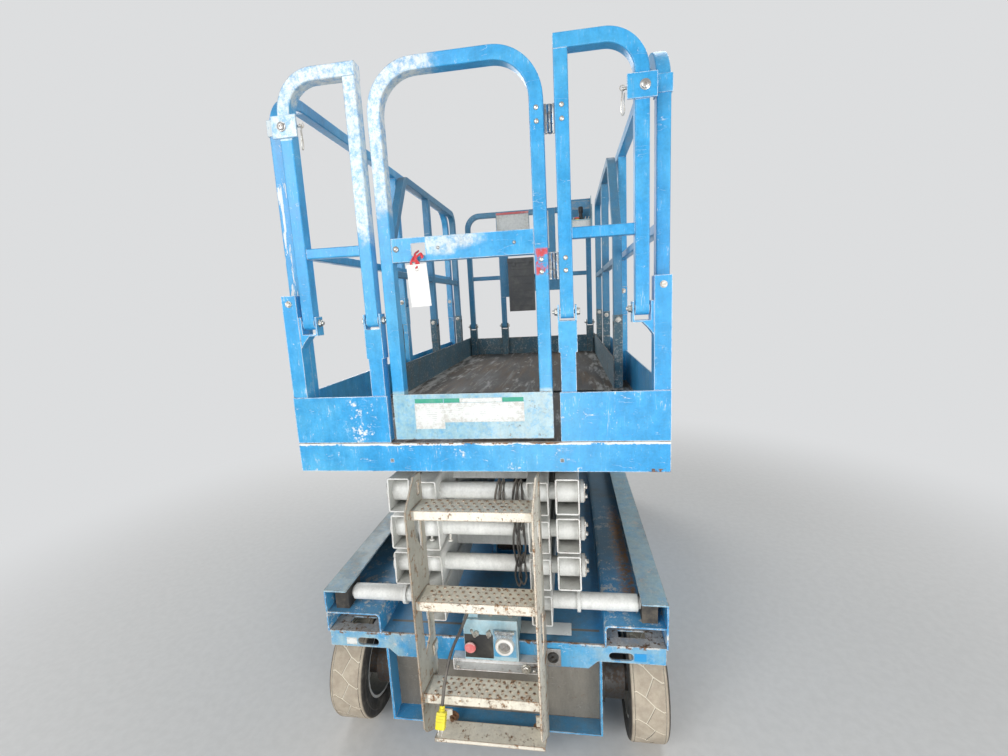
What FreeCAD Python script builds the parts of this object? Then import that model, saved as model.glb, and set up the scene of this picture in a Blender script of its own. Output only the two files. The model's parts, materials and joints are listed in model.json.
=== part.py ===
import FreeCAD, Part

import math
import os

# Self-propelled scissor lift, in millimetres. X right, Y forward (the steered end), Z up.
# Lengths along Y are drawn from the middle of the wheel base. The part's origin is on the floor,
# midway between the ladder's front edge and the platform's front face.

Vec = FreeCAD.Vector

# Driving sizes: running gear
WHEEL_BASE = 1850.0
TYRE_RADIUS = 203.0
TYRE_WIDTH = 127.0
TYRE_OUTER_X = 585.0
RIM_RADIUS = 140.0
SPINDLE_RADIUS = 20.0
KINGPIN_X = 405.0
KINGPIN_RADIUS = 18.0
STEER_ARM = 105.0
RUNNING_GAP = 0.05
LADDER_FRONT = -1218.0

# Driving sizes: chassis
CHASSIS_END = 1085.0
PANEL_FACE_Y = -CHASSIS_END - 34
RAIL_OUTER_X = 583.0
RAIL_INNER_X = 383.0
RAIL_FLANGE_X = 500.0
RAIL_BOTTOM_Z = 430.0
RAIL_TOP_Z = 589.0
TRACK_FLOOR_Z = 507.0
SHEET = 6.0
TUB_HALF = 374.0
TUB_TOP_Z = 424.0
GUARD_Z = 80.0
SADDLE_LOW_Z = 290.0
SEAT_GAP = 0.3
FRONT_BOX_HALF = 200.0
FRONT_BOX_START = 640.0
BULKHEAD_RECESS = 62.0
LADDER_BACK = -1100.0
LADDER_HALF = 190.0
LADDER_LEAN = -6.5
LADDER_TOP_Z = 1036.0
LADDER_FOOT_Z = 92.0
FOOT_PLATE_Z = 104.0
FOOT_PLATE_FRONT = -1158.0
# Treads from the top: height, front edge, rear edge, depth of the front lip.
TREADS = ((944.0, LADDER_FRONT + 28, -1103.0, 30.0), (653.0, LADDER_FRONT + 10, -1122.0, 32.0),
          (325.0, LADDER_FRONT + 10, -1130.0, 34.0))
BUMPER_LOW_Z = 375.0
BUMPER_MIDDLE_Z = 346.0
TOW_HOLE_X = (410.0, 460.0)
TOW_HOLE_Z = 397.0
TOW_HOLE_RADIUS = 14.0

# Driving sizes: swing-out trays
TRAY_GAP = 18.0
TRAY_X = (TUB_HALF + TRAY_GAP, 579.0)
TRAY_Y = (-500.0, 500.0)
TRAY_Z = (92.0, 402.0)
TRAY_PIN_X = 563.0
TRAY_PIN_Y = -484.0
TRAY_PIN = 8.0

# Driving sizes: free charger lead
CORD_RADIUS = 5.0
# Chosen route of the lead, from its gland under the tread down to the plug.
CORD_POINTS = ((-44.0, -1116.0, 592.0), (-52.0, -1140.0, 576.0), (-66.0, -1147.0, 541.0),
               (-84.0, -1144.0, 500.0), (-106.0, -1146.0, 455.0), (-121.0, -1162.0, 415.0),
               (-126.0, -1192.0, 381.0), (-128.0, -1221.0, 348.0), (-129.0, -1238.0, 318.0))

# Driving sizes: scissor stack
STAGES = 4
ARM_LENGTH = 2070.0
FRONT_PIN_Y = 1050.0
LEVEL_ZERO_Z = 545.0
LEVEL_PITCH = 131.0
ARM_HEIGHT = 116.0
ARM_OVERHANG = 60.0
ARM_WALL = 5.0
ARM_CORNER = 8.0
OUTER_ARM_X = (238.0, 314.0)
INNER_ARM_X = (147.0, 217.0)
PIN_TUBE_RADIUS = 27.5
PIN_TUBE_WALL = 6.0
CENTRE_PIN_RADIUS = 25.0
SLEEVE_WALL = 8.0
PIN_TUBE_HALF = 316.0
PIN_CAP_RADIUS = 37.0
PIN_CAP_THICK = 12.0

# Driving sizes: lift cylinder
CYL_FOOT_Y = -500.0
CYL_FOOT_Z = 465.0
CYL_HEAD_STATION = 1750.0
BARREL_RADIUS = 42.0
BARREL_BORE = 34.0
ROD_RADIUS = 26.0
CYL_EYE_GAP = 8.0

# Driving sizes: platform
DECK_Z = 1140.0
DECK_THICK = 3.0
PLATFORM_REAR = -1126.0
PLATFORM_FRONT = 1155.0
PLATFORM_HALF = 575.0
FASCIA_BOTTOM_Z = DECK_Z - 94.0
FASCIA_HOLE_X = 265.0
FASCIA_HOLE_DROP = 59.0
FASCIA_HOLE_HALF = 5.0
CHANNEL_LOW_Z = DECK_Z - 89.5
CHANNEL_HIGH_Z = DECK_Z - 38.5
RIB_DEPTH = 32.0
TOE_HEIGHT = 149.0
TOE_SHEET = 4.0
EXT_DECK_REAR = -400.0
EXT_DECK_RISE = 6.0
EXT_TOE_X = 489.0

# Driving sizes: guard rails, heights above the deck
TUBE = 38.0
TUBE_WALL = 2.5
TUBE_CORNER = 4.0
MID_TUBE = 30.0
RAIL_HEIGHT = 1090.0
REAR_PANEL_Y = -1101.0
REAR_PIVOT = 378.0
REAR_POST_X = (291.0, 497.0)
SIDE_RAIL_X = PLATFORM_HALF - 15.0
SIDE_PIVOT = 440.0
EXT_RAIL_X = 508.0
EXT_PIVOT = 315.0
FRONT_RAIL_Y = 1130.0
FRONT_PIVOT = 235.0
SIDE_RAIL_FRONT = 880.0
CHEEK = 5.0
CHEEK_GAP = 3.0
PIVOT_BOLT = 6.0
CORNER_POST_X = (PLATFORM_HALF - 47.0, PLATFORM_HALF)
CORNER_POST_Y = (PLATFORM_REAR + 4.0, PLATFORM_REAR + 48.0)
CORNER_POST_HEIGHT = 465.0
GATE_HINGE_X = 258.0
GATE_HINGE_Y = REAR_PANEL_Y + TUBE / 2 + 4
GATE_HINGE_Z = (509.0, 900.0)
HINGE_HALF = 36.0
HINGE_BARREL = 6.0
HINGE_PIN = 3.0
SIDE_POST_Y = (-1052.0, -110.0, SIDE_RAIL_FRONT - TUBE / 2)
EXT_POST_Y = (-360.0, 250.0, SIDE_RAIL_FRONT - TUBE / 2)
EXT_KNEE = 690.0
EXT_SHOULDER_Y = -125.0
FRONT_POST_X = (-455.0, -203.0, 455.0)

# Values that follow from the driving sizes
STOW_ANGLE = math.asin(LEVEL_PITCH / ARM_LENGTH)
REAR_PIN_Y = FRONT_PIN_Y - ARM_LENGTH * math.cos(STOW_ANGLE)
AXLE_Y = WHEEL_BASE / 2
TYRE_INNER_X = TYRE_OUTER_X - TYRE_WIDTH
EXT_DECK_Z = DECK_Z + EXT_DECK_RISE + TOE_SHEET
ORIGIN_SHIFT = -(LADDER_FRONT + PLATFORM_FRONT) / 2

os.makedirs("parts", exist_ok=True)


def level_z(level):
    return LEVEL_ZERO_Z + level * LEVEL_PITCH


def box(x, y, z):
    """Box between the low and high value of each pair."""
    corner = Vec(min(x), min(y), min(z))
    return Part.makeBox(abs(x[1] - x[0]), abs(y[1] - y[0]), abs(z[1] - z[0]), corner)


def rod(start, end, radius):
    start, end = Vec(*start), Vec(*end)
    return Part.makeCylinder(radius, (end - start).Length, start, end - start)


def pipe(start, end, radius, wall):
    return rod(start, end, radius).cut(rod(start, end, radius - wall))


def prism(points, push):
    wire = Part.makePolygon([Vec(*p) for p in points] + [Vec(*points[0])])
    return Part.Face(wire).extrude(Vec(*push))


def plate_yz(points, x, thick):
    return prism([(x, y, z) for y, z in points], (thick, 0, 0))


def plate_xz(points, y, thick):
    return prism([(x, y, z) for x, z in points], (0, thick, 0))


def plate_xy(points, z, thick):
    return prism([(x, y, z) for x, y in points], (0, 0, thick))


def fused(shapes):
    first, rest = shapes[0], shapes[1:]
    return first.fuse(rest).removeSplitter() if rest else first


def mirrored(shape):
    return shape.mirror(Vec(0, 0, 0), Vec(1, 0, 0))


def both_sides(shape):
    return [mirrored(shape), shape]


def write(node, shapes):
    solids = [solid for shape in shapes for solid in shape.Solids]
    whole = solids[0] if len(solids) == 1 else Part.makeCompound(solids)
    whole.translate(Vec(0, ORIGIN_SHIFT, 0))
    whole.exportStep("parts/" + node + ".step")


def square_wire(centre, across, up, size, corner):
    half, flat = size / 2, size / 2 - corner
    across, up = Vec(across).normalize(), Vec(up).normalize()

    def at(u, v):
        return centre + across * u + up * v

    if corner <= 0:
        corners = [at(-half, -half), at(half, -half), at(half, half), at(-half, half)]
        return Part.makePolygon(corners + [corners[0]])
    edges = []
    bulge = flat + corner * math.cos(math.pi / 4)
    for su, sv in ((1, -1), (1, 1), (-1, 1), (-1, -1)):
        turn_u = (at(su * half, sv * flat), at(su * flat, sv * half))
        first, last = turn_u if su * sv > 0 else turn_u[::-1]
        edges.append(Part.Arc(first, at(su * bulge, sv * bulge), last).toShape())
    ring = []
    for index, arc in enumerate(edges):
        following = edges[(index + 1) % 4]
        ring.append(arc)
        ring.append(Part.makeLine(arc.valueAt(arc.LastParameter), following.valueAt(following.FirstParameter)))
    return Part.Wire(Part.sortEdges(ring)[0])


def bent_path(points, radius):
    points = [Vec(*p) for p in points]
    edges, last = [], points[0]
    for before, here, after in zip(points, points[1:], points[2:]):
        into, out = (here - before).normalize(), (after - here).normalize()
        turn = into.getAngle(out)
        run = radius * math.tan(turn / 2)
        first, second = here - into * run, here + out * run
        middle = here + (out - into).normalize() * (radius / math.cos(turn / 2) - radius)
        edges.append(Part.makeLine(last, first))
        edges.append(Part.Arc(first, middle, second).toShape())
        last = second
    edges.append(Part.makeLine(last, points[-1]))
    return Part.Wire(edges)


def bent_tube(points, radius, normal, size=TUBE):
    """Square tube along straight runs joined by bends, all in one plane."""
    path = bent_path(points, radius)
    start = Vec(*points[0])
    ahead = (Vec(*points[1]) - start).normalize()
    normal = Vec(*normal)
    skins = []
    for width, corner in ((size, TUBE_CORNER), (size - 2 * TUBE_WALL, 0)):
        sweep = Part.BRepOffsetAPI.MakePipeShell(path)
        sweep.setBiNormalMode(normal)
        sweep.add(square_wire(start, normal, ahead.cross(normal), width, corner))
        sweep.build()
        sweep.makeSolid()
        skins.append(sweep.shape())
    return skins[0].cut(skins[1])


def straight_tube(start, end, normal, size=MID_TUBE):
    start, end = Vec(*start), Vec(*end)
    ahead = end - start
    side = ahead.cross(Vec(*normal))
    outer = Part.Face(square_wire(start, Vec(*normal), side, size, TUBE_CORNER)).extrude(ahead)
    inner = Part.Face(square_wire(start, Vec(*normal), side, size - 2 * TUBE_WALL, 0)).extrude(ahead)
    return outer.cut(inner)


def along(axis, centre, reach, radius):
    """Round bar centred on a point, along X or Y."""
    step = Vec(1, 0, 0) if axis == "X" else Vec(0, 1, 0)
    return Part.makeCylinder(radius, 2 * reach, Vec(*centre) - step * reach, step)


def knuckle_end(axis, centre):
    """Rounded solid foot of a folding post, turning about its pivot bolt."""
    foot = along(axis, centre, TUBE / 2, TUBE / 2)
    x, y, z = centre
    plug = TUBE / 2 - TUBE_WALL
    return foot.fuse(box((x - plug, x + plug), (y - plug, y + plug), (z, z + TUBE)))


def bolt_bore(axis, centre):
    return along(axis, centre, TUBE, PIVOT_BOLT + RUNNING_GAP)


def clevis_stub(axis, centre, floor_z):
    """Fixed lower post: a stub tube, two cheeks and the pivot bolt that a folding post turns on."""
    x, y, z = centre
    inner = TUBE / 2 + CHEEK_GAP
    outer = inner + CHEEK
    top = z - TUBE / 2 - 6
    deep = TUBE / 2
    pieces = []
    if axis == "X":
        block = box((x - inner, x + inner), (y - deep, y + deep), (floor_z, top))
        hollow = box((x - inner + CHEEK, x + inner - CHEEK), (y - deep + CHEEK, y + deep - CHEEK),
                     (floor_z, top - CHEEK))
        for side in (-1, 1):
            pieces.append(box((x + side * inner, x + side * outer), (y - deep, y + deep),
                              (top - 90, z + 20)))
    else:
        block = box((x - deep, x + deep), (y - inner, y + inner), (floor_z, top))
        hollow = box((x - deep + CHEEK, x + deep - CHEEK), (y - inner + CHEEK, y + inner - CHEEK),
                     (floor_z, top - CHEEK))
        for side in (-1, 1):
            pieces.append(box((x - deep, x + deep), (y + side * inner, y + side * outer),
                              (top - 90, z + 20)))
    pieces.insert(0, block.cut(hollow))
    pieces.append(along(axis, centre, outer + 4, PIVOT_BOLT))
    return fused(pieces)


def build_tyre(x_side, y):
    """Solid tyre turned about its axle, with rounded shoulders and a bead step on the rim."""
    half = TYRE_WIDTH / 2
    shoulder, bead = 14.0, 6.0
    centre_x = TYRE_INNER_X + half
    low, high = RIM_RADIUS, TYRE_RADIUS
    bulge = shoulder * (1 - math.cos(math.pi / 4))

    def at(u, r):
        return Vec(centre_x + u, y, TYRE_RADIUS + r)

    edges = [Part.makeLine(at(-half + bead, low), at(half - bead, low)),
             Part.makeLine(at(half - bead, low), at(half, low + bead)),
             Part.makeLine(at(half, low + bead), at(half, high - shoulder)),
             Part.Arc(at(half, high - shoulder), at(half - bulge, high - bulge), at(half - shoulder, high)).toShape(),
             Part.makeLine(at(half - shoulder, high), at(-half + shoulder, high)),
             Part.Arc(at(-half + shoulder, high), at(-half + bulge, high - bulge), at(-half, high - shoulder)).toShape(),
             Part.makeLine(at(-half, high - shoulder), at(-half, low + bead)),
             Part.makeLine(at(-half, low + bead), at(-half + bead, low))]
    tyre = Part.Face(Part.Wire(edges)).revolve(Vec(0, y, TYRE_RADIUS), Vec(1, 0, 0), 360)
    return tyre if x_side > 0 else mirrored(tyre)


def build_rim(x_side, y):
    """Dished steel wheel: barrel, hub plate with lightening holes and a hub sleeve."""
    bead = 6.0
    barrel = rod((TYRE_INNER_X + bead, y, TYRE_RADIUS), (TYRE_OUTER_X - bead, y, TYRE_RADIUS), RIM_RADIUS - 0.3)
    hollow = rod((TYRE_INNER_X, y, TYRE_RADIUS), (TYRE_OUTER_X, y, TYRE_RADIUS), RIM_RADIUS - 10)
    plate_x = TYRE_OUTER_X - 42
    plate = rod((plate_x, y, TYRE_RADIUS), (plate_x + 10, y, TYRE_RADIUS), RIM_RADIUS - 5)
    hub = rod((plate_x - 30, y, TYRE_RADIUS), (plate_x + 24, y, TYRE_RADIUS), 46)
    rim = fused([barrel.cut(hollow), plate, hub])
    rim = rim.cut(rod((0, y, TYRE_RADIUS), (TYRE_OUTER_X + 40, y, TYRE_RADIUS), SPINDLE_RADIUS + RUNNING_GAP))
    for hole in range(6):
        turn = math.radians(60 * hole + 30)
        hy, hz = y + 92 * math.cos(turn), TYRE_RADIUS + 92 * math.sin(turn)
        rim = rim.cut(rod((plate_x - 5, hy, hz), (plate_x + 15, hy, hz), 17))
    return rim if x_side > 0 else mirrored(rim)


def build_wheels():
    places = (("rear_left", -1, -AXLE_Y), ("rear_right", 1, -AXLE_Y),
              ("front_left", -1, AXLE_Y), ("front_right", 1, AXLE_Y))
    for name, side, y in places:
        write("tyre_" + name, [build_tyre(side, y)])
        write("rim_" + name, [build_rim(side, y)])


def spindle(y, from_x):
    end = TYRE_OUTER_X - 12
    return rod((from_x, y, TYRE_RADIUS), (end, y, TYRE_RADIUS), SPINDLE_RADIUS)


def build_rear_hubs():
    """Brake housings between the chassis side plates and the rear wheels."""
    flange = rod((TUB_HALF, -AXLE_Y, TYRE_RADIUS), (TUB_HALF + 12, -AXLE_Y, TYRE_RADIUS), 98)
    drum = rod((TUB_HALF, -AXLE_Y, TYRE_RADIUS), (TYRE_INNER_X - 3, -AXLE_Y, TYRE_RADIUS), 86)
    nose = rod((TYRE_INNER_X - 3, -AXLE_Y, TYRE_RADIUS), (TYRE_OUTER_X - 80, -AXLE_Y, TYRE_RADIUS), 60)
    hub = fused([flange, drum, nose, spindle(-AXLE_Y, TYRE_OUTER_X - 81)])
    write("rear_brake_hubs", both_sides(hub))


def build_front_axle():
    """Beam across the steered end with a king pin boss at each end."""
    low, high = 152.0, 288.0
    beam = box((-KINGPIN_X, KINGPIN_X), (AXLE_Y - 28, AXLE_Y + 28), (low + 12, high - 12))
    pad = box((-150, 150), (AXLE_Y - 50, AXLE_Y + 50), (high - 14, SADDLE_LOW_Z - SEAT_GAP))
    pieces = [beam, pad]
    for side in (-1, 1):
        x = side * KINGPIN_X
        pieces.append(rod((x, AXLE_Y, low), (x, AXLE_Y, high), 30))
        pieces.append(rod((x, AXLE_Y, low - 18), (x, AXLE_Y, high + 18), KINGPIN_RADIUS))
    write("front_axle_beam", [fused(pieces)])


def build_knuckles():
    """Steering yokes: two plates on the king pin, a drive motor towards the wheel, a steering arm below."""
    low, high, thick = 151.0, 289.0, 12.0
    face_x = KINGPIN_X + 35
    for name, side in (("left", -1), ("right", 1)):
        pieces = []
        for z in (low - thick, high):
            yoke = box((KINGPIN_X, face_x), (AXLE_Y - 34, AXLE_Y + 34), (z, z + thick))
            pieces.append(yoke.fuse(rod((KINGPIN_X, AXLE_Y, z), (KINGPIN_X, AXLE_Y, z + thick), 34)))
        pieces.append(box((face_x, face_x + 12), (AXLE_Y - 70, AXLE_Y + 70), (low - thick, high + thick)))
        motor = rod((face_x + 12, AXLE_Y, TYRE_RADIUS), (TYRE_OUTER_X - 80, AXLE_Y, TYRE_RADIUS), 60)
        pieces.append(motor)
        pieces.append(spindle(AXLE_Y, TYRE_OUTER_X - 81))
        arm_z = low - thick
        arm = box((KINGPIN_X - 17, KINGPIN_X + 17), (AXLE_Y - STEER_ARM, AXLE_Y), (arm_z, arm_z + thick))
        arm = arm.fuse(rod((KINGPIN_X, AXLE_Y - STEER_ARM, arm_z), (KINGPIN_X, AXLE_Y - STEER_ARM, arm_z + thick), 17))
        pieces.append(arm)
        bores = [rod((KINGPIN_X, AXLE_Y, low - 30), (KINGPIN_X, AXLE_Y, high + 30), KINGPIN_RADIUS + RUNNING_GAP),
                 rod((KINGPIN_X, AXLE_Y - STEER_ARM, arm_z - 5), (KINGPIN_X, AXLE_Y - STEER_ARM, arm_z + 20),
                     8 + RUNNING_GAP)]
        knuckle = fused(pieces).cut(bores[0]).cut(bores[1])
        write("steering_knuckle_" + name, [knuckle if side > 0 else mirrored(knuckle)])
    tie_z = low - thick - 16
    tie_y = AXLE_Y - STEER_ARM
    tie = [rod((-KINGPIN_X, tie_y, tie_z + 3), (KINGPIN_X, tie_y, tie_z + 3), 9)]
    for side in (-1, 1):
        x = side * KINGPIN_X
        tie.append(rod((x, tie_y, tie_z - 6), (x, tie_y, tie_z + 14), 20))
        tie.append(rod((x, tie_y, tie_z), (x, tie_y, low + 4), 8))
    write("tie_rod", [fused(tie)])


def build_chassis_rails():
    """Pressed side rails: web, top flange, slide track and a drop on the inner side."""
    bend = 14.0
    length = 2 * CHASSIS_END
    outline = [(RAIL_INNER_X, RAIL_BOTTOM_Z), (RAIL_INNER_X + SHEET, RAIL_BOTTOM_Z),
               (RAIL_INNER_X + SHEET, TRACK_FLOOR_Z - SHEET - bend / 2),
               (RAIL_INNER_X + SHEET + bend / 2, TRACK_FLOOR_Z - SHEET),
               (RAIL_OUTER_X - SHEET, TRACK_FLOOR_Z - SHEET), (RAIL_OUTER_X - SHEET, RAIL_BOTTOM_Z),
               (RAIL_OUTER_X, RAIL_BOTTOM_Z), (RAIL_OUTER_X, RAIL_TOP_Z), (RAIL_FLANGE_X, RAIL_TOP_Z),
               (RAIL_FLANGE_X, RAIL_TOP_Z - SHEET), (RAIL_OUTER_X - SHEET, RAIL_TOP_Z - SHEET),
               (RAIL_OUTER_X - SHEET, TRACK_FLOOR_Z), (RAIL_INNER_X + bend, TRACK_FLOOR_Z),
               (RAIL_INNER_X + bend * 0.3, TRACK_FLOOR_Z - bend * 0.3), (RAIL_INNER_X, TRACK_FLOOR_Z - bend)]
    rail = plate_xz(outline, -CHASSIS_END, length)
    write("chassis_rails", both_sides(rail))


def build_chassis_tub():
    """Centre box between the wheels: side plates, top plate, guard plates, narrow steered end and lugs."""
    rear, mid, front = -CHASSIS_END + SHEET, FRONT_BOX_START, CHASSIS_END - SHEET
    pieces = []
    for side in (-1, 1):
        x = side * TUB_HALF
        pieces.append(box((x - side * 8, x), (rear, mid), (GUARD_Z, TUB_TOP_Z)))
        nx = side * FRONT_BOX_HALF
        pieces.append(box((nx - side * 8, nx), (mid, front), (312, TUB_TOP_Z)))
        pieces.append(box((nx - side * 8, nx), (mid, AXLE_Y - 140), (140, 312)))
        pieces.append(box((nx - side * 8, x), (mid - 8, mid), (GUARD_Z, TUB_TOP_Z)))
    seat = RAIL_INNER_X + SHEET
    top = box((-seat, seat), (rear, front), (TUB_TOP_Z, RAIL_BOTTOM_Z))
    slot = box((-80, 80), (CYL_FOOT_Y - 60, CYL_FOOT_Y + 620), (TUB_TOP_Z - 1, RAIL_BOTTOM_Z + 1))
    pieces.append(top.cut(slot))
    pieces.append(box((-TUB_HALF, TUB_HALF), (rear, rear + BULKHEAD_RECESS), (GUARD_Z, GUARD_Z + SHEET)))
    pieces.append(box((-TUB_HALF, TUB_HALF), (rear + BULKHEAD_RECESS, rear + BULKHEAD_RECESS + SHEET), (GUARD_Z, 330)))
    pieces.append(box((-TUB_HALF, TUB_HALF), (rear + BULKHEAD_RECESS, mid), (150, 150 + SHEET)))
    pieces.append(box((-TUB_HALF, TUB_HALF), (-510, -504), (150, TUB_TOP_Z)))
    pieces.append(box((-FRONT_BOX_HALF, FRONT_BOX_HALF), (mid, AXLE_Y - 140), (140, 140 + SHEET)))
    for side in (-1, 1):
        lug = plate_yz([(CYL_FOOT_Y - 45, TUB_TOP_Z - 40), (CYL_FOOT_Y + 45, TUB_TOP_Z - 40),
                        (CYL_FOOT_Y + 25, CYL_FOOT_Z + 30), (CYL_FOOT_Y - 25, CYL_FOOT_Z + 30)],
                       60 if side > 0 else -76, 16)
        pieces.append(lug)
    pieces.append(rod((-86, CYL_FOOT_Y, CYL_FOOT_Z), (86, CYL_FOOT_Y, CYL_FOOT_Z), 18))
    for side in (-1, 1):
        pieces.append(box((60 * side, 100 * side), (CYL_FOOT_Y - 70, CYL_FOOT_Y + 70),
                          (TUB_TOP_Z - 44, TUB_TOP_Z)))
        pieces.append(box((92 * side, 100 * side), (CYL_FOOT_Y - 70, CYL_FOOT_Y + 620),
                          (TUB_TOP_Z - 60, TUB_TOP_Z)))
    pieces.append(box((-FRONT_BOX_HALF, FRONT_BOX_HALF), (AXLE_Y - 60, AXLE_Y + 60), (SADDLE_LOW_Z, 312)))
    write("chassis_tub", [fused(pieces)])


def build_pivot_brackets():
    """Lugs and fixed pins at the steered end that carry the lowest outer arms."""
    pair = []
    gap = 5.0
    inner, outer = OUTER_ARM_X[0] - gap, OUTER_ARM_X[1] + gap
    outline = [(FRONT_PIN_Y - 70, RAIL_BOTTOM_Z), (FRONT_PIN_Y + 29, RAIL_BOTTOM_Z),
               (FRONT_PIN_Y + 29, LEVEL_ZERO_Z + 12), (FRONT_PIN_Y + 12, LEVEL_ZERO_Z + 36),
               (FRONT_PIN_Y - 20, LEVEL_ZERO_Z + 36), (FRONT_PIN_Y - 45, LEVEL_ZERO_Z + 10)]
    pieces = [plate_yz(outline, inner - 10, 10), plate_yz(outline, outer, 10)]
    pieces.append(rod((inner - 10, FRONT_PIN_Y, LEVEL_ZERO_Z), (outer + 16, FRONT_PIN_Y, LEVEL_ZERO_Z),
                      PIN_TUBE_RADIUS))
    write("front_pivot_brackets", both_sides(fused(pieces)))


def build_bumpers():
    """End cross members: a folded top plate with slots over a stepped face with oval tow holes."""
    for node, end, depth in (("rear_bumper", -1, BUMPER_MIDDLE_Z), ("front_bumper", 1, 412.0)):
        outer_low = BUMPER_LOW_Z if end < 0 else 412.0
        half = RAIL_OUTER_X - SHEET - 1
        face_y = end * CHASSIS_END
        outline = [(-half, RAIL_BOTTOM_Z), (-half, outer_low), (-360, outer_low), (-330, depth),
                   (330, depth), (360, outer_low), (half, outer_low), (half, RAIL_BOTTOM_Z)]
        face = plate_xz(outline, face_y if end < 0 else face_y - SHEET, SHEET)
        if end < 0:
            for side in (-1, 1):
                x0, x1, z, radius = side * TOW_HOLE_X[0], side * TOW_HOLE_X[1], TOW_HOLE_Z, TOW_HOLE_RADIUS
                cut = fused([box((x0, x1), (face_y - 5, face_y + SHEET + 5), (z - radius, z + radius)),
                             rod((x0, face_y - 5, z), (x0, face_y + SHEET + 5, z), radius),
                             rod((x1, face_y - 5, z), (x1, face_y + SHEET + 5, z), radius)])
                face = face.cut(cut)
        pieces = [face]
        for side in (-1, 1):
            x0, x1 = side * (RAIL_INNER_X + SHEET), side * half
            y1 = face_y - end * 150
            shelf = box((x0, x1), (face_y, y1), (RAIL_BOTTOM_Z, RAIL_BOTTOM_Z + SHEET))
            shelf = shelf.cut(box((side * 430, side * 520), (face_y - end * 40, face_y - end * 75),
                                  (RAIL_BOTTOM_Z - 1, RAIL_BOTTOM_Z + SHEET + 1)))
            pieces.append(shelf)
        pieces.append(box((-RAIL_INNER_X, RAIL_INNER_X), (face_y, face_y - end * SHEET),
                          (RAIL_BOTTOM_Z, RAIL_BOTTOM_Z + SHEET)))
        write(node, [fused(pieces)])


def ladder_plate(back_x, lean):
    """One stringer, cut from plate and turned slightly about its rear edge, as the bent ladder stands."""
    thick = 6.0
    front, back = LADDER_FRONT, LADDER_BACK
    top, foot = LADDER_TOP_Z, LADDER_FOOT_Z
    outline = [(back, top), (back, 560), (back + 14, 540), (back + 14, 300), (back, 280), (back, foot),
               (front + 14, foot + 84), (front, foot + 110), (front, 950), (front + 70, top)]
    plate = plate_yz(outline, back_x - thick / 2, thick)
    oval_z, oval_y = 991.0, back - 26
    hand_hole = fused([rod((-250, oval_y, oval_z - 14), (250, oval_y, oval_z - 14), 9),
                       rod((-250, oval_y, oval_z + 14), (250, oval_y, oval_z + 14), 9),
                       box((-250, 250), (oval_y - 9, oval_y + 9), (oval_z - 14, oval_z + 14))])
    upper = prism([(-250, back - 72, 905), (-250, back - 24, 890), (-250, back - 24, 776), (-250, back - 66, 850)],
                  (500, 0, 0))
    lower = prism([(-250, back - 72, 600), (-250, back - 24, 575), (-250, back - 24, 470), (-250, back - 64, 430)],
                  (500, 0, 0))
    for cut in (hand_hole, upper, lower):
        plate = plate.cut(cut)
    plate.rotate(Vec(back_x, back, 0), Vec(0, 0, 1), lean)
    return plate


def build_ladder():
    """Entry ladder: two cut stringer plates, three folded treads, a foot plate and its chassis brackets."""
    pieces = [ladder_plate(side * LADDER_HALF, LADDER_LEAN) for side in (-1, 1)]
    slope = math.tan(math.radians(LADDER_LEAN))

    def skewed(y0, y1, z0, z1):
        corners = []
        for side, y in ((-1, y0), (1, y0), (1, y1), (-1, y1)):
            corners.append((side * (LADDER_HALF - 2) - (y - LADDER_BACK) * slope, y))
        return plate_xy(corners, z0, z1 - z0)

    for z, y0, y1, lip in TREADS:
        pieces.append(skewed(y0, y1, z - 3, z))
        pieces.append(skewed(y0, y0 + 3, z - lip, z))
        pieces.append(skewed(y1 - 3, y1, z - 20, z))
    pieces.append(skewed(FOOT_PLATE_FRONT, -CHASSIS_END - 2, FOOT_PLATE_Z - 4, FOOT_PLATE_Z))
    pieces.append(skewed(FOOT_PLATE_FRONT, FOOT_PLATE_FRONT + 4, FOOT_PLATE_Z - 14, FOOT_PLATE_Z))
    for side in (-1, 1):
        x = side * (LADDER_HALF - 3)
        pieces.append(box((x - side * 6, x), (LADDER_BACK - 20, -CHASSIS_END), (388, 428)))
        pieces.append(box((x - side * 40, x), (-CHASSIS_END - 3, -CHASSIS_END), (90, 150)))
        pieces.append(box((x - side * 40, x), (-CHASSIS_END - 3, -CHASSIS_END + SHEET), (GUARD_Z, GUARD_Z + SHEET)))
        pieces.append(box((x - side * 40, x), (-CHASSIS_END - 3, -CHASSIS_END), (GUARD_Z, FOOT_PLATE_Z)))
    write("ladder", [fused(pieces)])


def build_control_panel():
    """Lower controls on the chassis end, behind the ladder: box, buttons, socket and a folded channel."""
    face, wall = PANEL_FACE_Y, -CHASSIS_END - SEAT_GAP
    low, split, high = 340.0, 384.0, 532.0
    housing = box((-77, 103), (face, wall), (split, high)).fuse(box((-77, 103), (face, -1010), (442, high)))
    horn = box((-60, -28), (face + 10, face + 16), (high, 604))
    write("ground_control_box", [fused([housing, horn])])
    channel = box((-121, 168), (face, wall), (low, split))
    channel = channel.cut(box((-117, 164), (face - 5, face + 30), (low + 4, split - 4)))
    write("control_channel", [channel])
    button = rod((-56, face - 14, 434), (-56, face, 434), 16)
    socket = pipe((60, face - 22, 450), (60, face, 450), 30, 10)
    knob = rod((126, face + 5, 362), (126, face + 30, 362), 12)
    write("ground_controls", [button, socket, knob])


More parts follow.
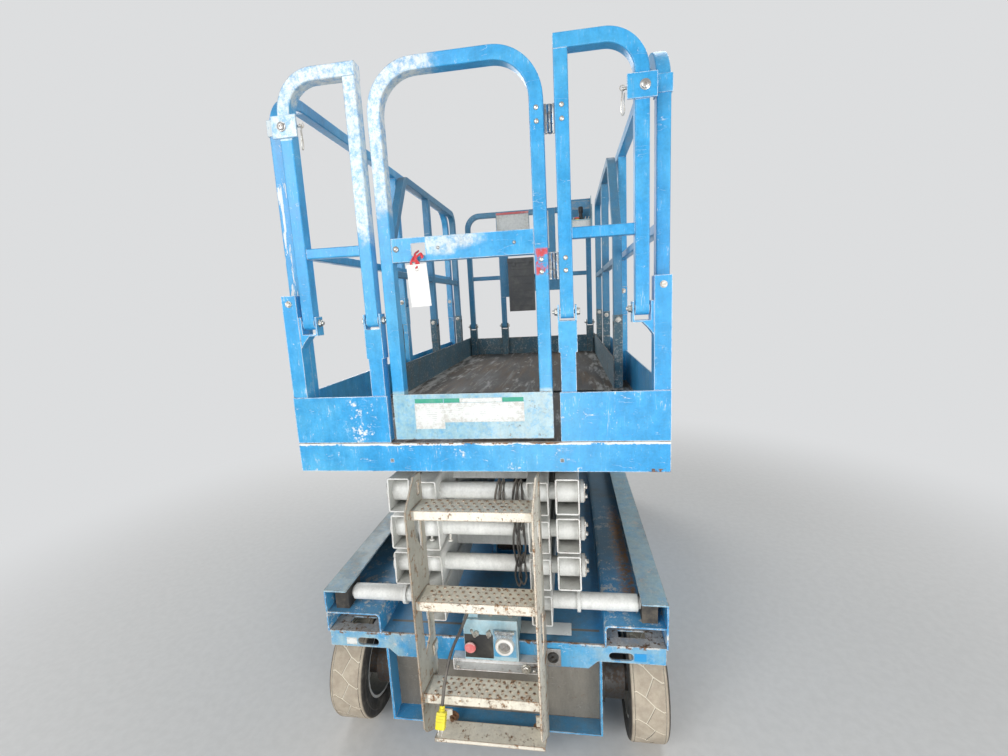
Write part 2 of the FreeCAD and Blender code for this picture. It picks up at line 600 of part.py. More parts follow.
def arm_solid(x_pair, stations):
    """Rectangular tube arm along +Y from its first pin, with a sleeve across it at each pin."""
    x0, x1 = x_pair
    wide = x1 - x0
    low, high = -ARM_OVERHANG, ARM_LENGTH + ARM_OVERHANG
    half = ARM_HEIGHT / 2
    skin = Part.makeBox(wide, high - low, ARM_HEIGHT, Vec(x0, low, -half))
    long_edges = [edge for edge in skin.Edges if abs(edge.Length - (high - low)) < 0.01]
    skin = skin.makeFillet(ARM_CORNER, long_edges)
    hollow = Part.makeBox(wide - 2 * ARM_WALL, high - low + 2, ARM_HEIGHT - 2 * ARM_WALL,
                          Vec(x0 + ARM_WALL, low - 1, -half + ARM_WALL))
    arm = skin.cut(hollow)
    for station, radius in stations:
        sleeve = rod((x0, station, 0), (x1, station, 0), radius + SLEEVE_WALL)
        arm = arm.fuse(sleeve)
    for station, radius in stations:
        arm = arm.cut(rod((x0 - 1, station, 0), (x1 + 1, station, 0), radius))
    return arm


def cross_tube(station, half):
    tube = pipe((-half, station, 0), (half, station, 0), PIN_TUBE_RADIUS, PIN_TUBE_WALL)
    caps = []
    for side in (-1, 1):
        caps.append(rod((side * half, station, 0), (side * (half + PIN_CAP_THICK), station, 0), PIN_CAP_RADIUS))
    return tube.fuse(caps)


def rounded_end(arm, station, beyond, x_pair):
    """Trim an arm's end to a half round about its pin, so that it turns under the deck."""
    half = ARM_HEIGHT / 2
    x0, x1 = x_pair[0] - 5, x_pair[1] + 5
    y0, y1 = sorted((station, station + beyond))
    waste = box((x0, x1), (y0, y1), (-half - 5, half + 5))
    waste = waste.cut(rod((x0, station, 0), (x1, station, 0), half))
    return arm.cut(waste)


def placed(shape, level, sign):
    shape = shape.copy()
    shape.rotate(Vec(0, 0, 0), Vec(1, 0, 0), math.degrees(sign * STOW_ANGLE))
    shape.translate(Vec(0, REAR_PIN_Y, level_z(level)))
    return shape


def build_outer_arms():
    """Each outer pair runs from the front pin of one level up to the rear pin of the next."""
    middle = ARM_LENGTH / 2
    free_pin = PIN_TUBE_RADIUS + RUNNING_GAP
    for stage in range(1, STAGES + 1):
        top = stage == STAGES
        rear_radius = PIN_TUBE_RADIUS if top else free_pin
        arm = arm_solid(OUTER_ARM_X, ((0.0, rear_radius), (middle, CENTRE_PIN_RADIUS), (ARM_LENGTH, free_pin)))
        if top:
            arm = rounded_end(arm, 0.0, -ARM_OVERHANG - 5, OUTER_ARM_X)
        pin = rod((INNER_ARM_X[0] - 4, middle, 0), (OUTER_ARM_X[1] + 8, middle, 0), CENTRE_PIN_RADIUS)
        head = rod((OUTER_ARM_X[1], middle, 0), (OUTER_ARM_X[1] + 10, middle, 0), CENTRE_PIN_RADIUS + 9)
        arm = fused([arm, pin, head])
        solids = both_sides(arm)
        if top:
            tube = pipe((-338, 0, 0), (338, 0, 0), PIN_TUBE_RADIUS, PIN_TUBE_WALL)
            stub = rod((-394, 0, 0), (394, 0, 0), 17)
            stub = stub.cut(rod((-330, 0, 0), (330, 0, 0), 20))
            plugs = [rod((side * 326, 0, 0), (side * 338, 0, 0), PIN_TUBE_RADIUS) for side in (-1, 1)]
            solids = [fused(solids + [tube, stub] + plugs)]
        write("outer_arms_%d" % stage, [placed(solid, stage, -1) for solid in solids])


def build_inner_arms():
    """Each inner pair runs from the rear pin of one level up to the front pin of the next."""
    middle = ARM_LENGTH / 2
    for stage in range(1, STAGES + 1):
        bottom, top = stage == 1, stage == STAGES
        front_radius = PIN_TUBE_RADIUS + RUNNING_GAP if top else PIN_TUBE_RADIUS
        arm = arm_solid(INNER_ARM_X, ((0.0, PIN_TUBE_RADIUS), (middle, CENTRE_PIN_RADIUS + RUNNING_GAP),
                                      (ARM_LENGTH, front_radius)))
        if top:
            arm = rounded_end(arm, ARM_LENGTH, ARM_OVERHANG + 5, INNER_ARM_X)
        pieces = both_sides(arm)
        if bottom:
            stub = pipe((INNER_ARM_X[0], 0, 0), (496, 0, 0), PIN_TUBE_RADIUS, PIN_TUBE_WALL)
            collar = rod((298, 0, 0), (310, 0, 0), PIN_TUBE_RADIUS + 9)
            collar = collar.cut(rod((290, 0, 0), (320, 0, 0), PIN_TUBE_RADIUS - 1))
            journal = rod((484, 0, 0), (548, 0, 0), 19)
            plug = rod((482, 0, 0), (496, 0, 0), PIN_TUBE_RADIUS)
            pieces += both_sides(fused([stub, collar, plug, journal]))
            head = pipe((-INNER_ARM_X[0], CYL_HEAD_STATION, 0), (INNER_ARM_X[0], CYL_HEAD_STATION, 0),
                        PIN_TUBE_RADIUS, PIN_TUBE_WALL)
            pieces.append(head)
        else:
            pieces.append(cross_tube(0.0, PIN_TUBE_HALF))
            brace = Part.makeBox(2 * INNER_ARM_X[0], 90, 60, Vec(-INNER_ARM_X[0], 150, -30))
            brace = brace.cut(Part.makeBox(2 * INNER_ARM_X[0] + 2, 78, 56, Vec(-INNER_ARM_X[0] - 1, 156, -34)))
            pieces.append(brace)
        if not top:
            pieces.append(cross_tube(ARM_LENGTH, PIN_TUBE_HALF))
        write("inner_arms_%d" % stage, [placed(fused(pieces), stage - 1, 1)])


def build_slide_blocks():
    low_gap = 0.5
    block = box((504, 553), (REAR_PIN_Y - 48, REAR_PIN_Y + 48), (TRACK_FLOOR_Z + low_gap, RAIL_TOP_Z - SHEET - low_gap))
    block = block.cut(rod((500, REAR_PIN_Y, LEVEL_ZERO_Z), (560, REAR_PIN_Y, LEVEL_ZERO_Z), 19 + RUNNING_GAP))
    write("slide_blocks_low", both_sides(block))
    z = level_z(STAGES)
    block = box((348, 394), (REAR_PIN_Y - 45, REAR_PIN_Y + 45), (1051, 1101))
    block = block.cut(rod((340, REAR_PIN_Y, z), (400, REAR_PIN_Y, z), 17 + RUNNING_GAP))
    write("slide_blocks_high", both_sides(block))


def cylinder_points():
    foot = Vec(0, CYL_FOOT_Y, CYL_FOOT_Z)
    head = Vec(0, REAR_PIN_Y + CYL_HEAD_STATION * math.cos(STOW_ANGLE),
               LEVEL_ZERO_Z + CYL_HEAD_STATION * math.sin(STOW_ANGLE))
    return foot, head


def build_lift_cylinder():
    """Barrel on its foot pin, and the rod with an open saddle below the head tube."""
    foot, head = cylinder_points()
    length = (head - foot).Length
    gland_end = length - 130
    barrel = Part.makeCylinder(BARREL_RADIUS, gland_end - 40, Vec(0, 40, 0), Vec(0, 1, 0))
    bore = Part.makeCylinder(BARREL_BORE, gland_end - 110, Vec(0, 80, 0), Vec(0, 1, 0))
    rod_way = Part.makeCylinder(ROD_RADIUS + RUNNING_GAP, gland_end, Vec(0, 80, 0), Vec(0, 1, 0))
    gland = Part.makeCylinder(BARREL_RADIUS + 7, 50, Vec(0, gland_end - 50, 0), Vec(0, 1, 0))
    eye = Part.makeCylinder(36, 108, Vec(-54, 0, 0), Vec(1, 0, 0))
    neck = Part.makeBox(60, 60, 60, Vec(-30, 0, -30))
    foot_bore = Part.makeCylinder(18 + RUNNING_GAP, 130, Vec(-65, 0, 0), Vec(1, 0, 0))
    body = fused([barrel, gland, eye, neck]).cut(bore).cut(rod_way).cut(foot_bore)
    reach = PIN_TUBE_RADIUS + CYL_EYE_GAP
    shaft = Part.makeCylinder(ROD_RADIUS, length - reach - 5 - 100, Vec(0, 100, 0), Vec(0, 1, 0))
    saddle = Part.makeCylinder(reach + 14, 80, Vec(-40, length, 0), Vec(1, 0, 0))
    saddle = saddle.cut(Part.makeCylinder(reach, 90, Vec(-45, length, 0), Vec(1, 0, 0)))
    saddle = saddle.cut(Part.makeBox(90, 140, 140, Vec(-45, length - 8, -70)))
    tilt = math.degrees(math.atan2(head.z - foot.z, head.y - foot.y))
    for node, shape in (("lift_cylinder_barrel", body), ("lift_cylinder_rod", fused([shaft, saddle]))):
        shape.rotate(Vec(0, 0, 0), Vec(1, 0, 0), tilt)
        shape.translate(foot)
        write(node, [shape])


def build_trays():
    """Swing-out side trays with the battery pack on the left and the hydraulic unit on the right."""
    x0, x1 = TRAY_X
    y0, y1 = TRAY_Y
    low, high = TRAY_Z
    skin = 4.0
    tray = box((x0, x1), (y0, y1), (low, high))
    tray = tray.cut(box((x0 - 1, x1 - skin), (y0 + skin, y1 - skin), (low + skin, high - skin)))
    for y in (y0 + 120, y1 - 280):
        for row in range(4):
            z = high - 62 - 24 * row
            tray = tray.cut(box((x1 - 10, x1 + 5), (y, y + 160), (z - 10, z)))
    tray = tray.cut(rod((TRAY_PIN_X, TRAY_PIN_Y, low - 5), (TRAY_PIN_X, TRAY_PIN_Y, high + 5), TRAY_PIN + RUNNING_GAP))
    write("tray_right", [tray])
    write("tray_left", [mirrored(tray)])
    battery = box((-x1 + 12, -x0 - 8), (y0 + 60, y1 - 60), (low + skin, high - 50))
    write("battery_pack", [battery])
    tank = box((x0 + 12, x1 - 14), (y0 + 80, -10), (low + skin, high - 62))
    motor = fused([rod((485, 30, 230), (485, 330, 230), 72), box((430, 540), (60, 300), (low + skin, 200))])
    write("hydraulic_unit", [tank, motor])
    hinges = []
    back = y0 - 12
    wall = box((TUB_HALF, x1), (back - SHEET, back), (GUARD_Z, high + 10))
    ears = []
    for z in (low - 8, high + 2):
        ears.append(box((TRAY_PIN_X - 16, TRAY_PIN_X + 14), (back - SHEET, TRAY_PIN_Y + 16), (z, z + SHEET)))
    pins = [rod((TRAY_PIN_X, TRAY_PIN_Y, low - 8), (TRAY_PIN_X, TRAY_PIN_Y, low + skin + 6), TRAY_PIN),
            rod((TRAY_PIN_X, TRAY_PIN_Y, high - skin - 6), (TRAY_PIN_X, TRAY_PIN_Y, high + 8), TRAY_PIN)]
    hinges = fused([wall] + ears + pins)
    write("tray_hinges", both_sides(hinges))


def build_platform_frame():
    """Deck frame: folded perimeter, slide channels and cross ribs clear of the arms."""
    wall = TOE_SHEET
    fascia = box((-PLATFORM_HALF, PLATFORM_HALF), (PLATFORM_REAR, PLATFORM_REAR + wall),
                 (FASCIA_BOTTOM_Z, DECK_Z - DECK_THICK))
    hole_z, half = DECK_Z - FASCIA_HOLE_DROP, FASCIA_HOLE_HALF
    for x in (-FASCIA_HOLE_X, FASCIA_HOLE_X):
        fascia = fascia.cut(box((x - half, x + half), (PLATFORM_REAR - 5, PLATFORM_REAR + 10),
                                (hole_z - half, hole_z + half)))
    pieces = [fascia]
    inner_y = (PLATFORM_REAR + wall, PLATFORM_FRONT - wall)
    top = DECK_Z - DECK_THICK
    pieces.append(box((-PLATFORM_HALF, PLATFORM_HALF), (PLATFORM_FRONT - wall, PLATFORM_FRONT),
                      (FASCIA_BOTTOM_Z, top)))
    for side in (-1, 1):
        edge = side * PLATFORM_HALF
        pieces.append(box((edge, edge - side * wall), (PLATFORM_REAR, PLATFORM_FRONT), (FASCIA_BOTTOM_Z, top)))
        pieces.append(box((edge, edge - side * 40), inner_y, (FASCIA_BOTTOM_Z, FASCIA_BOTTOM_Z + wall)))
        web = side * 402
        pieces.append(box((web, web - side * 5), inner_y, (FASCIA_BOTTOM_Z, top)))
        pieces.append(box((web, web - side * 58), (PLATFORM_REAR + wall, 260), (FASCIA_BOTTOM_Z, CHANNEL_LOW_Z)))
        pieces.append(box((web, web - side * 58), (PLATFORM_REAR + wall, 260), (CHANNEL_HIGH_Z, CHANNEL_HIGH_Z + 5.5)))
        for y in (-860, -430, 0, 430, 860):
            pieces.append(box((web, edge - side * wall), (y, y + wall), (top - RIB_DEPTH, top)))
    write("platform_frame", [fused(pieces)])
    lugs = []
    z = level_z(STAGES)
    for side in (-1, 1):
        x = 222 if side > 0 else -232
        outline = [(FRONT_PIN_Y - 60, top), (FRONT_PIN_Y - 34, z - 34), (FRONT_PIN_Y + 34, z - 34),
                   (FRONT_PIN_Y + 60, top)]
        lugs.append(plate_yz(outline, x, 10))
    tube = pipe((-232, FRONT_PIN_Y, z), (232, FRONT_PIN_Y, z), PIN_TUBE_RADIUS, PIN_TUBE_WALL)
    write("platform_pivot", [fused(lugs + [tube])])


def build_deck():
    deck = box((-PLATFORM_HALF, PLATFORM_HALF), (PLATFORM_REAR, PLATFORM_FRONT), (DECK_Z - DECK_THICK, DECK_Z))
    write("platform_deck", [deck])


def corner_post(side):
    """Folded corner post; its gusset carries the cup that the outer post of a rear panel turns in."""
    x0, x1 = CORNER_POST_X
    y0, y1 = CORNER_POST_Y
    top = DECK_Z + CORNER_POST_HEIGHT
    shell = box((x0, x1), (y0, y1), (DECK_Z, top))
    shell = shell.cut(box((x0 + CHEEK, x1 - TOE_SHEET), (y0 + CHEEK, y1 + 1), (DECK_Z - 1, top + 1)))
    x, z = REAR_POST_X[1], DECK_Z + REAR_PIVOT
    inner = TUBE / 2 + CHEEK_GAP
    deep = (REAR_PANEL_Y - TUBE / 2, REAR_PANEL_Y + TUBE / 2)
    floor = z - 2 * TUBE / 2
    cup = [box((x - inner - CHEEK, x - inner), deep, (floor, z + 20)),
           box((x + inner, x + inner + CHEEK), deep, (floor, z + 20)),
           box((x - inner - CHEEK, x + inner + CHEEK), deep, (floor, floor + CHEEK)),
           along("X", (x, REAR_PANEL_Y, z), inner + CHEEK + 4, PIVOT_BOLT)]
    outline = [(x0 + 1, z + 20), (x + inner, z + 20), (x + inner, floor + CHEEK), (x, floor + 1),
               (x + inner - 4, floor - 18), (x0 + 1, floor - 38)]
    cup.append(plate_xz(outline, deep[0], TUBE))
    post = fused([shell] + cup)
    return post if side > 0 else mirrored(post)


def build_fixed_posts():
    """Toe boards with the stub posts and clevises of the folding rails."""
    pieces = []
    toe_top = DECK_Z + TOE_HEIGHT
    y_end = SIDE_RAIL_FRONT + 60
    for side in (-1, 1):
        edge = side * PLATFORM_HALF
        pieces.append(box((edge, edge - side * TOE_SHEET), (PLATFORM_REAR, y_end), (DECK_Z, toe_top)))
        for y in SIDE_POST_Y:
            stub = clevis_stub("Y", (side * SIDE_RAIL_X, y, DECK_Z + SIDE_PIVOT), DECK_Z)
            pieces.append(stub)
        pieces.append(clevis_stub("X", (side * REAR_POST_X[0], REAR_PANEL_Y, DECK_Z + REAR_PIVOT), DECK_Z))
        pieces.append(corner_post(side))
        plate = box((side * 318, side * PLATFORM_HALF), (PLATFORM_REAR, PLATFORM_REAR + TOE_SHEET),
                    (DECK_Z, toe_top - 2))
        pieces.append(plate)
        pieces.append(box((side * 264, side * 318), (PLATFORM_REAR, PLATFORM_REAR + 7), (DECK_Z, toe_top - 2)))
    write("fixed_posts", [fused(pieces)])


def build_rear_panels():
    """Folding rear panel on the left and the gate frame on the right."""
    y = REAR_PANEL_Y
    foot, top = DECK_Z + REAR_PIVOT, DECK_Z + RAIL_HEIGHT - TUBE / 2
    bend = 95.0
    for node, side, mid in (("rear_panel_left", -1, 585.0), ("gate_frame", 1, 592.0)):
        outer_x, inner_x = side * REAR_POST_X[1], side * REAR_POST_X[0]
        end_x = inner_x - side * TUBE / 2
        bow = bent_tube([(outer_x, y, foot), (outer_x, y, top), (end_x, y, top)], bend, (0, 1, 0))
        post = straight_tube((inner_x, y, foot), (inner_x, y, top - TUBE / 2), (0, 1, 0), TUBE)
        bar = straight_tube((inner_x + side * TUBE / 2, y, DECK_Z + mid), (outer_x - side * TUBE / 2, y, DECK_Z + mid),
                            (0, 1, 0))
        cap = box((end_x, end_x + side * TUBE_WALL), (y - 18, y + 18), (top - 18, top + 18))
        pieces = [bow, post, bar, cap]
        for x in (outer_x, inner_x):
            pieces.append(knuckle_end("X", (x, y, foot)))
        strap = box((side * 458, side * 534), (y - TUBE / 2 - 5, y - TUBE / 2), (DECK_Z + 910, DECK_Z + 970))
        pieces.append(strap)
        if side > 0:
            for z in GATE_HINGE_Z:
                pieces.append(hinge_leaf(1, z))
        frame = fused(pieces)
        for x in (outer_x, inner_x):
            frame = frame.cut(bolt_bore("X", (x, y, foot)))
        write(node, [frame])


def hinge_leaf(side, height):
    """Half of a butt hinge: the frame's leaf holds the middle barrel and the pin, the gate's the outer two."""
    z = DECK_Z + height
    leaf_y = (REAR_PANEL_Y + TUBE / 2, REAR_PANEL_Y + TUBE / 2 + 3)
    x, y = GATE_HINGE_X, GATE_HINGE_Y
    third = HINGE_HALF / 3
    if side > 0:
        leaf = box((x + HINGE_BARREL + 1, x + 48), leaf_y, (z - HINGE_HALF, z + HINGE_HALF))
        tongue = box((x, x + HINGE_BARREL + 2), leaf_y, (z - third + 0.5, z + third - 0.5))
        barrel = rod((x, y, z - third + 0.5), (x, y, z + third - 0.5), HINGE_BARREL)
        pin = rod((x, y, z - HINGE_HALF - 2), (x, y, z + HINGE_HALF + 2), HINGE_PIN)
        return fused([leaf, tongue, barrel, pin])
    leaf = box((x - 48, x - HINGE_BARREL - 1), leaf_y, (z - HINGE_HALF, z + HINGE_HALF))
    pieces = [leaf]
    for low, high in ((-HINGE_HALF, -third - 0.5), (third + 0.5, HINGE_HALF)):
        knob = rod((x, y, z + low), (x, y, z + high), HINGE_BARREL)
        tongue = box((x - HINGE_BARREL - 2, x), leaf_y, (z + low, z + high))
        pieces.append(knob.fuse(tongue).cut(rod((x, y, z + low - 1), (x, y, z + high + 1), HINGE_PIN + RUNNING_GAP)))
    return fused(pieces)


def build_gate():
    """Swing gate: one bent loop, a latch channel across the middle and a kick panel at the foot."""
    y = REAR_PANEL_Y
    left, right = -247.0 + TUBE / 2, 243.0 - TUBE / 2
    foot, top = DECK_Z + 12, DECK_Z + 1084 - TUBE / 2
    bow = bent_tube([(left, y, foot), (left, y, top), (right, y, top), (right, y, foot)], 120.0, (0, 1, 0))
    latch_z = DECK_Z + 576.5
    channel = box((left + TUBE / 2, right - TUBE / 2), (y - TUBE / 2, y + TUBE / 2), (latch_z - 33.5, latch_z + 33.5))
    channel = channel.cut(box((left, right), (y - TUBE / 2 + 3, y + TUBE / 2 + 1), (latch_z - 30.5, latch_z + 30.5)))
    channel = channel.cut(box((-150, -108), (y - 30, y), (latch_z - 17, latch_z + 17)))
    kick = box((-245, 243), (y - TUBE / 2 - 3, y - TUBE / 2), (DECK_Z + 9, DECK_Z + 150))
    sill = box((left + TUBE / 2, right - TUBE / 2), (y - TUBE / 2, y + TUBE / 2 - 10), (DECK_Z + 12, DECK_Z + 15))
    pieces = [bow, channel, kick, sill]
    for z in GATE_HINGE_Z:
        pieces.append(hinge_leaf(-1, z))
    write("gate", [fused(pieces)])


def build_side_rails():
    """Main side rails: bent end posts, a middle post and a mid rail, folding inwards on bolts along Y."""
    foot, top = DECK_Z + SIDE_PIVOT, DECK_Z + RAIL_HEIGHT - TUBE / 2
    rear_y, mid_y, front_y = SIDE_POST_Y
    for name, side in (("left", -1), ("right", 1)):
        x = side * SIDE_RAIL_X
        bow = bent_tube([(x, rear_y, foot), (x, rear_y, top), (x, front_y, top), (x, front_y, foot)],
                        130.0, (1, 0, 0))
        pieces = [bow, straight_tube((x, mid_y, foot), (x, mid_y, top - TUBE / 2), (1, 0, 0), TUBE)]
        bar_z = DECK_Z + 600
        for y0, y1 in ((rear_y, mid_y), (mid_y, front_y)):
            pieces.append(straight_tube((x, y0 + TUBE / 2, bar_z), (x, y1 - TUBE / 2, bar_z), (1, 0, 0)))
        for y in SIDE_POST_Y:
            pieces.append(knuckle_end("Y", (x, y, foot)))
        rail = fused(pieces)
        for y in SIDE_POST_Y:
            rail = rail.cut(bolt_bore("Y", (x, y, foot)))
        write("side_rail_" + name, [rail])


def build_extension():
    """Roll-out deck with its own toe boards, stub posts and folding side rails."""
    low, high = DECK_Z + EXT_DECK_RISE, EXT_DECK_Z
    edge = EXT_RAIL_X + TUBE / 2
    plate = box((-edge, edge), (EXT_DECK_REAR, PLATFORM_FRONT - 6), (low, high))
    runners = [box((x - 15, x + 15), (EXT_DECK_REAR, PLATFORM_FRONT - 12), (DECK_Z + 0.4, low))
               for x in (-460, 0, 460)]
    write("extension_deck", [fused([plate] + runners)])
    pieces = []
    toe_top = DECK_Z + TOE_HEIGHT
    for side in (-1, 1):
        x = side * EXT_RAIL_X
        inner = side * EXT_TOE_X
        pieces.append(box((inner, inner - side * TOE_SHEET), (EXT_DECK_REAR + 10, FRONT_RAIL_Y + 16), (high, toe_top)))
        for y in EXT_POST_Y:
            pieces.append(clevis_stub("Y", (x, y, DECK_Z + EXT_PIVOT), high))
    pieces.append(box((-edge, edge), (FRONT_RAIL_Y + TUBE / 2, FRONT_RAIL_Y + TUBE / 2 + TOE_SHEET),
                      (high, toe_top - 10)))
    for x in FRONT_POST_X:
        pieces.append(clevis_stub("X", (x, FRONT_RAIL_Y, DECK_Z + FRONT_PIVOT), high))
    write("extension_toe_boards", [fused(pieces)])
    foot, top = DECK_Z + EXT_PIVOT, DECK_Z + 1060 - TUBE / 2
    rear_y, mid_y, front_y = EXT_POST_Y
    knee, shoulder_y = DECK_Z + EXT_KNEE, EXT_SHOULDER_Y
    for name, side in (("left", -1), ("right", 1)):
        x = side * EXT_RAIL_X
        path = [(x, rear_y, foot), (x, rear_y, knee), (x, shoulder_y, top), (x, front_y, top), (x, front_y, foot)]
        pieces = [bent_tube(path, 70.0, (1, 0, 0))]
        pieces.append(straight_tube((x, mid_y, foot), (x, mid_y, top - TUBE / 2), (1, 0, 0), TUBE))
        bar_z = DECK_Z + 570
        for y0, y1 in ((rear_y, mid_y), (mid_y, front_y)):
            pieces.append(straight_tube((x, y0 + TUBE / 2, bar_z), (x, y1 - TUBE / 2, bar_z), (1, 0, 0)))
        for y in EXT_POST_Y:
            pieces.append(knuckle_end("Y", (x, y, foot)))
        rail = fused(pieces)
        for y in EXT_POST_Y:
            rail = rail.cut(bolt_bore("Y", (x, y, foot)))
        write("extension_rail_" + name, [rail])


def build_front_rail():
    """Front rail of the roll-out deck with its mid bar, name-free plates and two boxes."""
    y = FRONT_RAIL_Y
    foot, top = DECK_Z + FRONT_PIVOT, DECK_Z + RAIL_HEIGHT - TUBE / 2
    left, inner, right = FRONT_POST_X
    bow = bent_tube([(left, y, foot), (left, y, top), (right, y, top), (right, y, foot)], 95.0, (0, 1, 0))
    pieces = [bow, straight_tube((inner, y, foot), (inner, y, top - TUBE / 2), (0, 1, 0), TUBE)]
    bar_z = DECK_Z + 605
    for x0, x1 in ((left, inner), (inner, right)):
        pieces.append(straight_tube((x0 + TUBE / 2, y, bar_z), (x1 - TUBE / 2, y, bar_z), (0, 1, 0)))
    for x in FRONT_POST_X:
        pieces.append(knuckle_end("X", (x, y, foot)))
    inner_face = y - TUBE / 2
    pieces.append(box((-230, 22), (inner_face - 4, inner_face), (DECK_Z + 931, DECK_Z + 1088)))
    pieces.append(box((132, 214), (inner_face - 4, inner_face + 0.5), (DECK_Z + 770, DECK_Z + 1088)))
    pieces.append(box((-217, -150), (inner_face - 4, inner_face + 0.5), (DECK_Z + 455, DECK_Z + 768)))
    pieces.append(box((46, 235), (inner_face - 1, inner_face + 5), (DECK_Z + 490, DECK_Z + 600)))
    pieces.append(box((330, 478), (inner_face - 4, inner_face + 0.5), (DECK_Z + 965, DECK_Z + 1132)))
    frame = fused(pieces)
    for x in FRONT_POST_X:
        frame = frame.cut(bolt_bore("X", (x, y, foot)))
    write("front_rail", [frame])
    x0, x1, floor, lid = 330.0, 478.0, DECK_Z + 880, DECK_Z + 965
    back = inner_face - 4 - SEAT_GAP
    control = fused([box((x0, x1), (inner_face - 160, back), (floor, lid)),
                     box((x1 - 5, x1), (inner_face - 160, back), (floor, lid + 95)),
                     box((x1 - 5, x1), (inner_face - 60, back), (lid + 90, lid + 175))])
    write("upper_control_box", [control])
    stick_y, stop_y = inner_face - 90, inner_face - 134
    stick = fused([rod((400, stick_y, lid + SEAT_GAP), (400, stick_y, lid + 60), 14),
                   rod((400, stick_y, lid + 48), (400, stick_y, lid + 98), 17)])
    stop = rod((372, stop_y, lid + SEAT_GAP), (372, stop_y, lid + 20), 18)
    write("upper_controls", [stick, stop])
    manual = box((-148, 45), (inner_face - 60, y - MID_TUBE / 2 - SEAT_GAP), (DECK_Z + 344, DECK_Z + 735))
    write("manual_box", [manual])


def build_cord():
    """Free charger lead as straight runs joined by tangent arcs, with its plug."""
    points = [Vec(*p) for p in CORD_POINTS]
    edges, last = [], points[0]
    radii = []
    for before, here, after in zip(points, points[1:], points[2:]):
        into, out = here - before, after - here
        reach = 0.45 * min(into.Length, out.Length)
        into.normalize()
        out.normalize()
        turn = into.getAngle(out)
        radius = reach / math.tan(turn / 2)
        radii.append(round(radius, 1))
        first, second = here - into * reach, here + out * reach
        middle = here + (out - into).normalize() * (radius / math.cos(turn / 2) - radius)
        edges.append(Part.makeLine(last, first))
        edges.append(Part.Arc(first, middle, second).toShape())
        last = second
    edges.append(Part.makeLine(last, points[-1]))
    path = Part.Wire(edges)
    ahead = points[1] - points[0]
    ring = Part.Wire(Part.makeCircle(CORD_RADIUS, points[0], ahead))
    sweep = Part.BRepOffsetAPI.MakePipeShell(path)
    sweep.add(ring)
    sweep.build()
    sweep.makeSolid()
    cord = sweep.shape()
    print("cord radii", radii, "length", round(path.Length, 1),
          "volume ratio", round(cord.Volume / (math.pi * CORD_RADIUS ** 2 * path.Length), 4))
    write("charger_cord", [cord])
    tip, before = points[-1], points[-2]
    down = (tip - before).normalize()
    plug = Part.makeCylinder(15, 48, tip + down * 14, down)
    neck = Part.makeCone(8, 15, 14, tip, down)
    body = plug.fuse(neck)
    pins = []
    side = down.cross(Vec(0, 1, 0)).normalize()
    for offset in (-6, 6):
        pins.append(Part.makeCylinder(2, 18, tip + down * 62 + side * offset, down))
    write("charger_plug", [fused([body] + pins)])
    x, y, z = CORD_POINTS[0]
    gland = rod((x, y - 3, z), (x, PANEL_FACE_Y + 10 - SEAT_GAP, z), 9)
    gland = gland.cut(Part.makeCylinder(CORD_RADIUS + SEAT_GAP, 20, points[0] - ahead.normalize() * SEAT_GAP, ahead))
    write("cord_gland", [gland])


build_wheels()
build_rear_hubs()
build_front_axle()
build_knuckles()
build_chassis_rails()
build_chassis_tub()
build_pivot_brackets()
build_bumpers()
build_ladder()
build_control_panel()
build_outer_arms()
build_inner_arms()
build_slide_blocks()
build_lift_cylinder()
build_trays()
build_platform_frame()
build_deck()
build_fixed_posts()
build_rear_panels()
build_gate()
build_side_rails()
build_extension()
build_front_rail()
build_cord()
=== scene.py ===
"""Looks of a worn self-propelled scissor lift: finishes, tread, fastenings, latches, plates, cords and stage.

Lengths are metres in the frame's axes: X to the right seen from the ladder, Y towards the steered end, Z up.
"""

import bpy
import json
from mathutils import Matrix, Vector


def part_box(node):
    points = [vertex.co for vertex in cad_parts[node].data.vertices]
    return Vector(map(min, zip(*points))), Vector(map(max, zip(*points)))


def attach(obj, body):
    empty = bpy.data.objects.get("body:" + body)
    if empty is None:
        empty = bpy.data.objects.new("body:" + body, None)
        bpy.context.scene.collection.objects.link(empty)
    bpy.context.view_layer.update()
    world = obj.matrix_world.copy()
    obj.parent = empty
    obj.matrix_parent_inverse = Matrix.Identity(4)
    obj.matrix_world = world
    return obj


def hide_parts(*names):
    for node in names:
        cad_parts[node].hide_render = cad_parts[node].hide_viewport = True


bl_info = {
    "name": "Scissor lift looks",
    "version": (1, 0, 0),
    "blender": (4, 5, 0),
    "location": "3D View > Sidebar > Scissor Lift",
    "description": "Worn paint, tread, fastenings, plates, cords and a stage for a packed scissor lift",
    "category": "Add Mesh",
}

import json
import math
import random

import bmesh
import bpy
from mathutils import Matrix, Vector

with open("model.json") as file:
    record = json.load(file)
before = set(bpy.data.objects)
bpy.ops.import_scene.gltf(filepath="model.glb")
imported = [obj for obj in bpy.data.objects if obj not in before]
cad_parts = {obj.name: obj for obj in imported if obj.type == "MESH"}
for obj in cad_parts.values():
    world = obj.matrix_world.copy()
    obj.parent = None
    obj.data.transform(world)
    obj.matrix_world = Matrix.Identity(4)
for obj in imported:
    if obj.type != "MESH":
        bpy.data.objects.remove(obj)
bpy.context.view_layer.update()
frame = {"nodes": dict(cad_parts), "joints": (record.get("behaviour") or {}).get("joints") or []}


# Places read from the frame
def low(node):
    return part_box(node)[0]


def high(node):
    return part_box(node)[1]


def middle(node):
    return (low(node) + high(node)) / 2


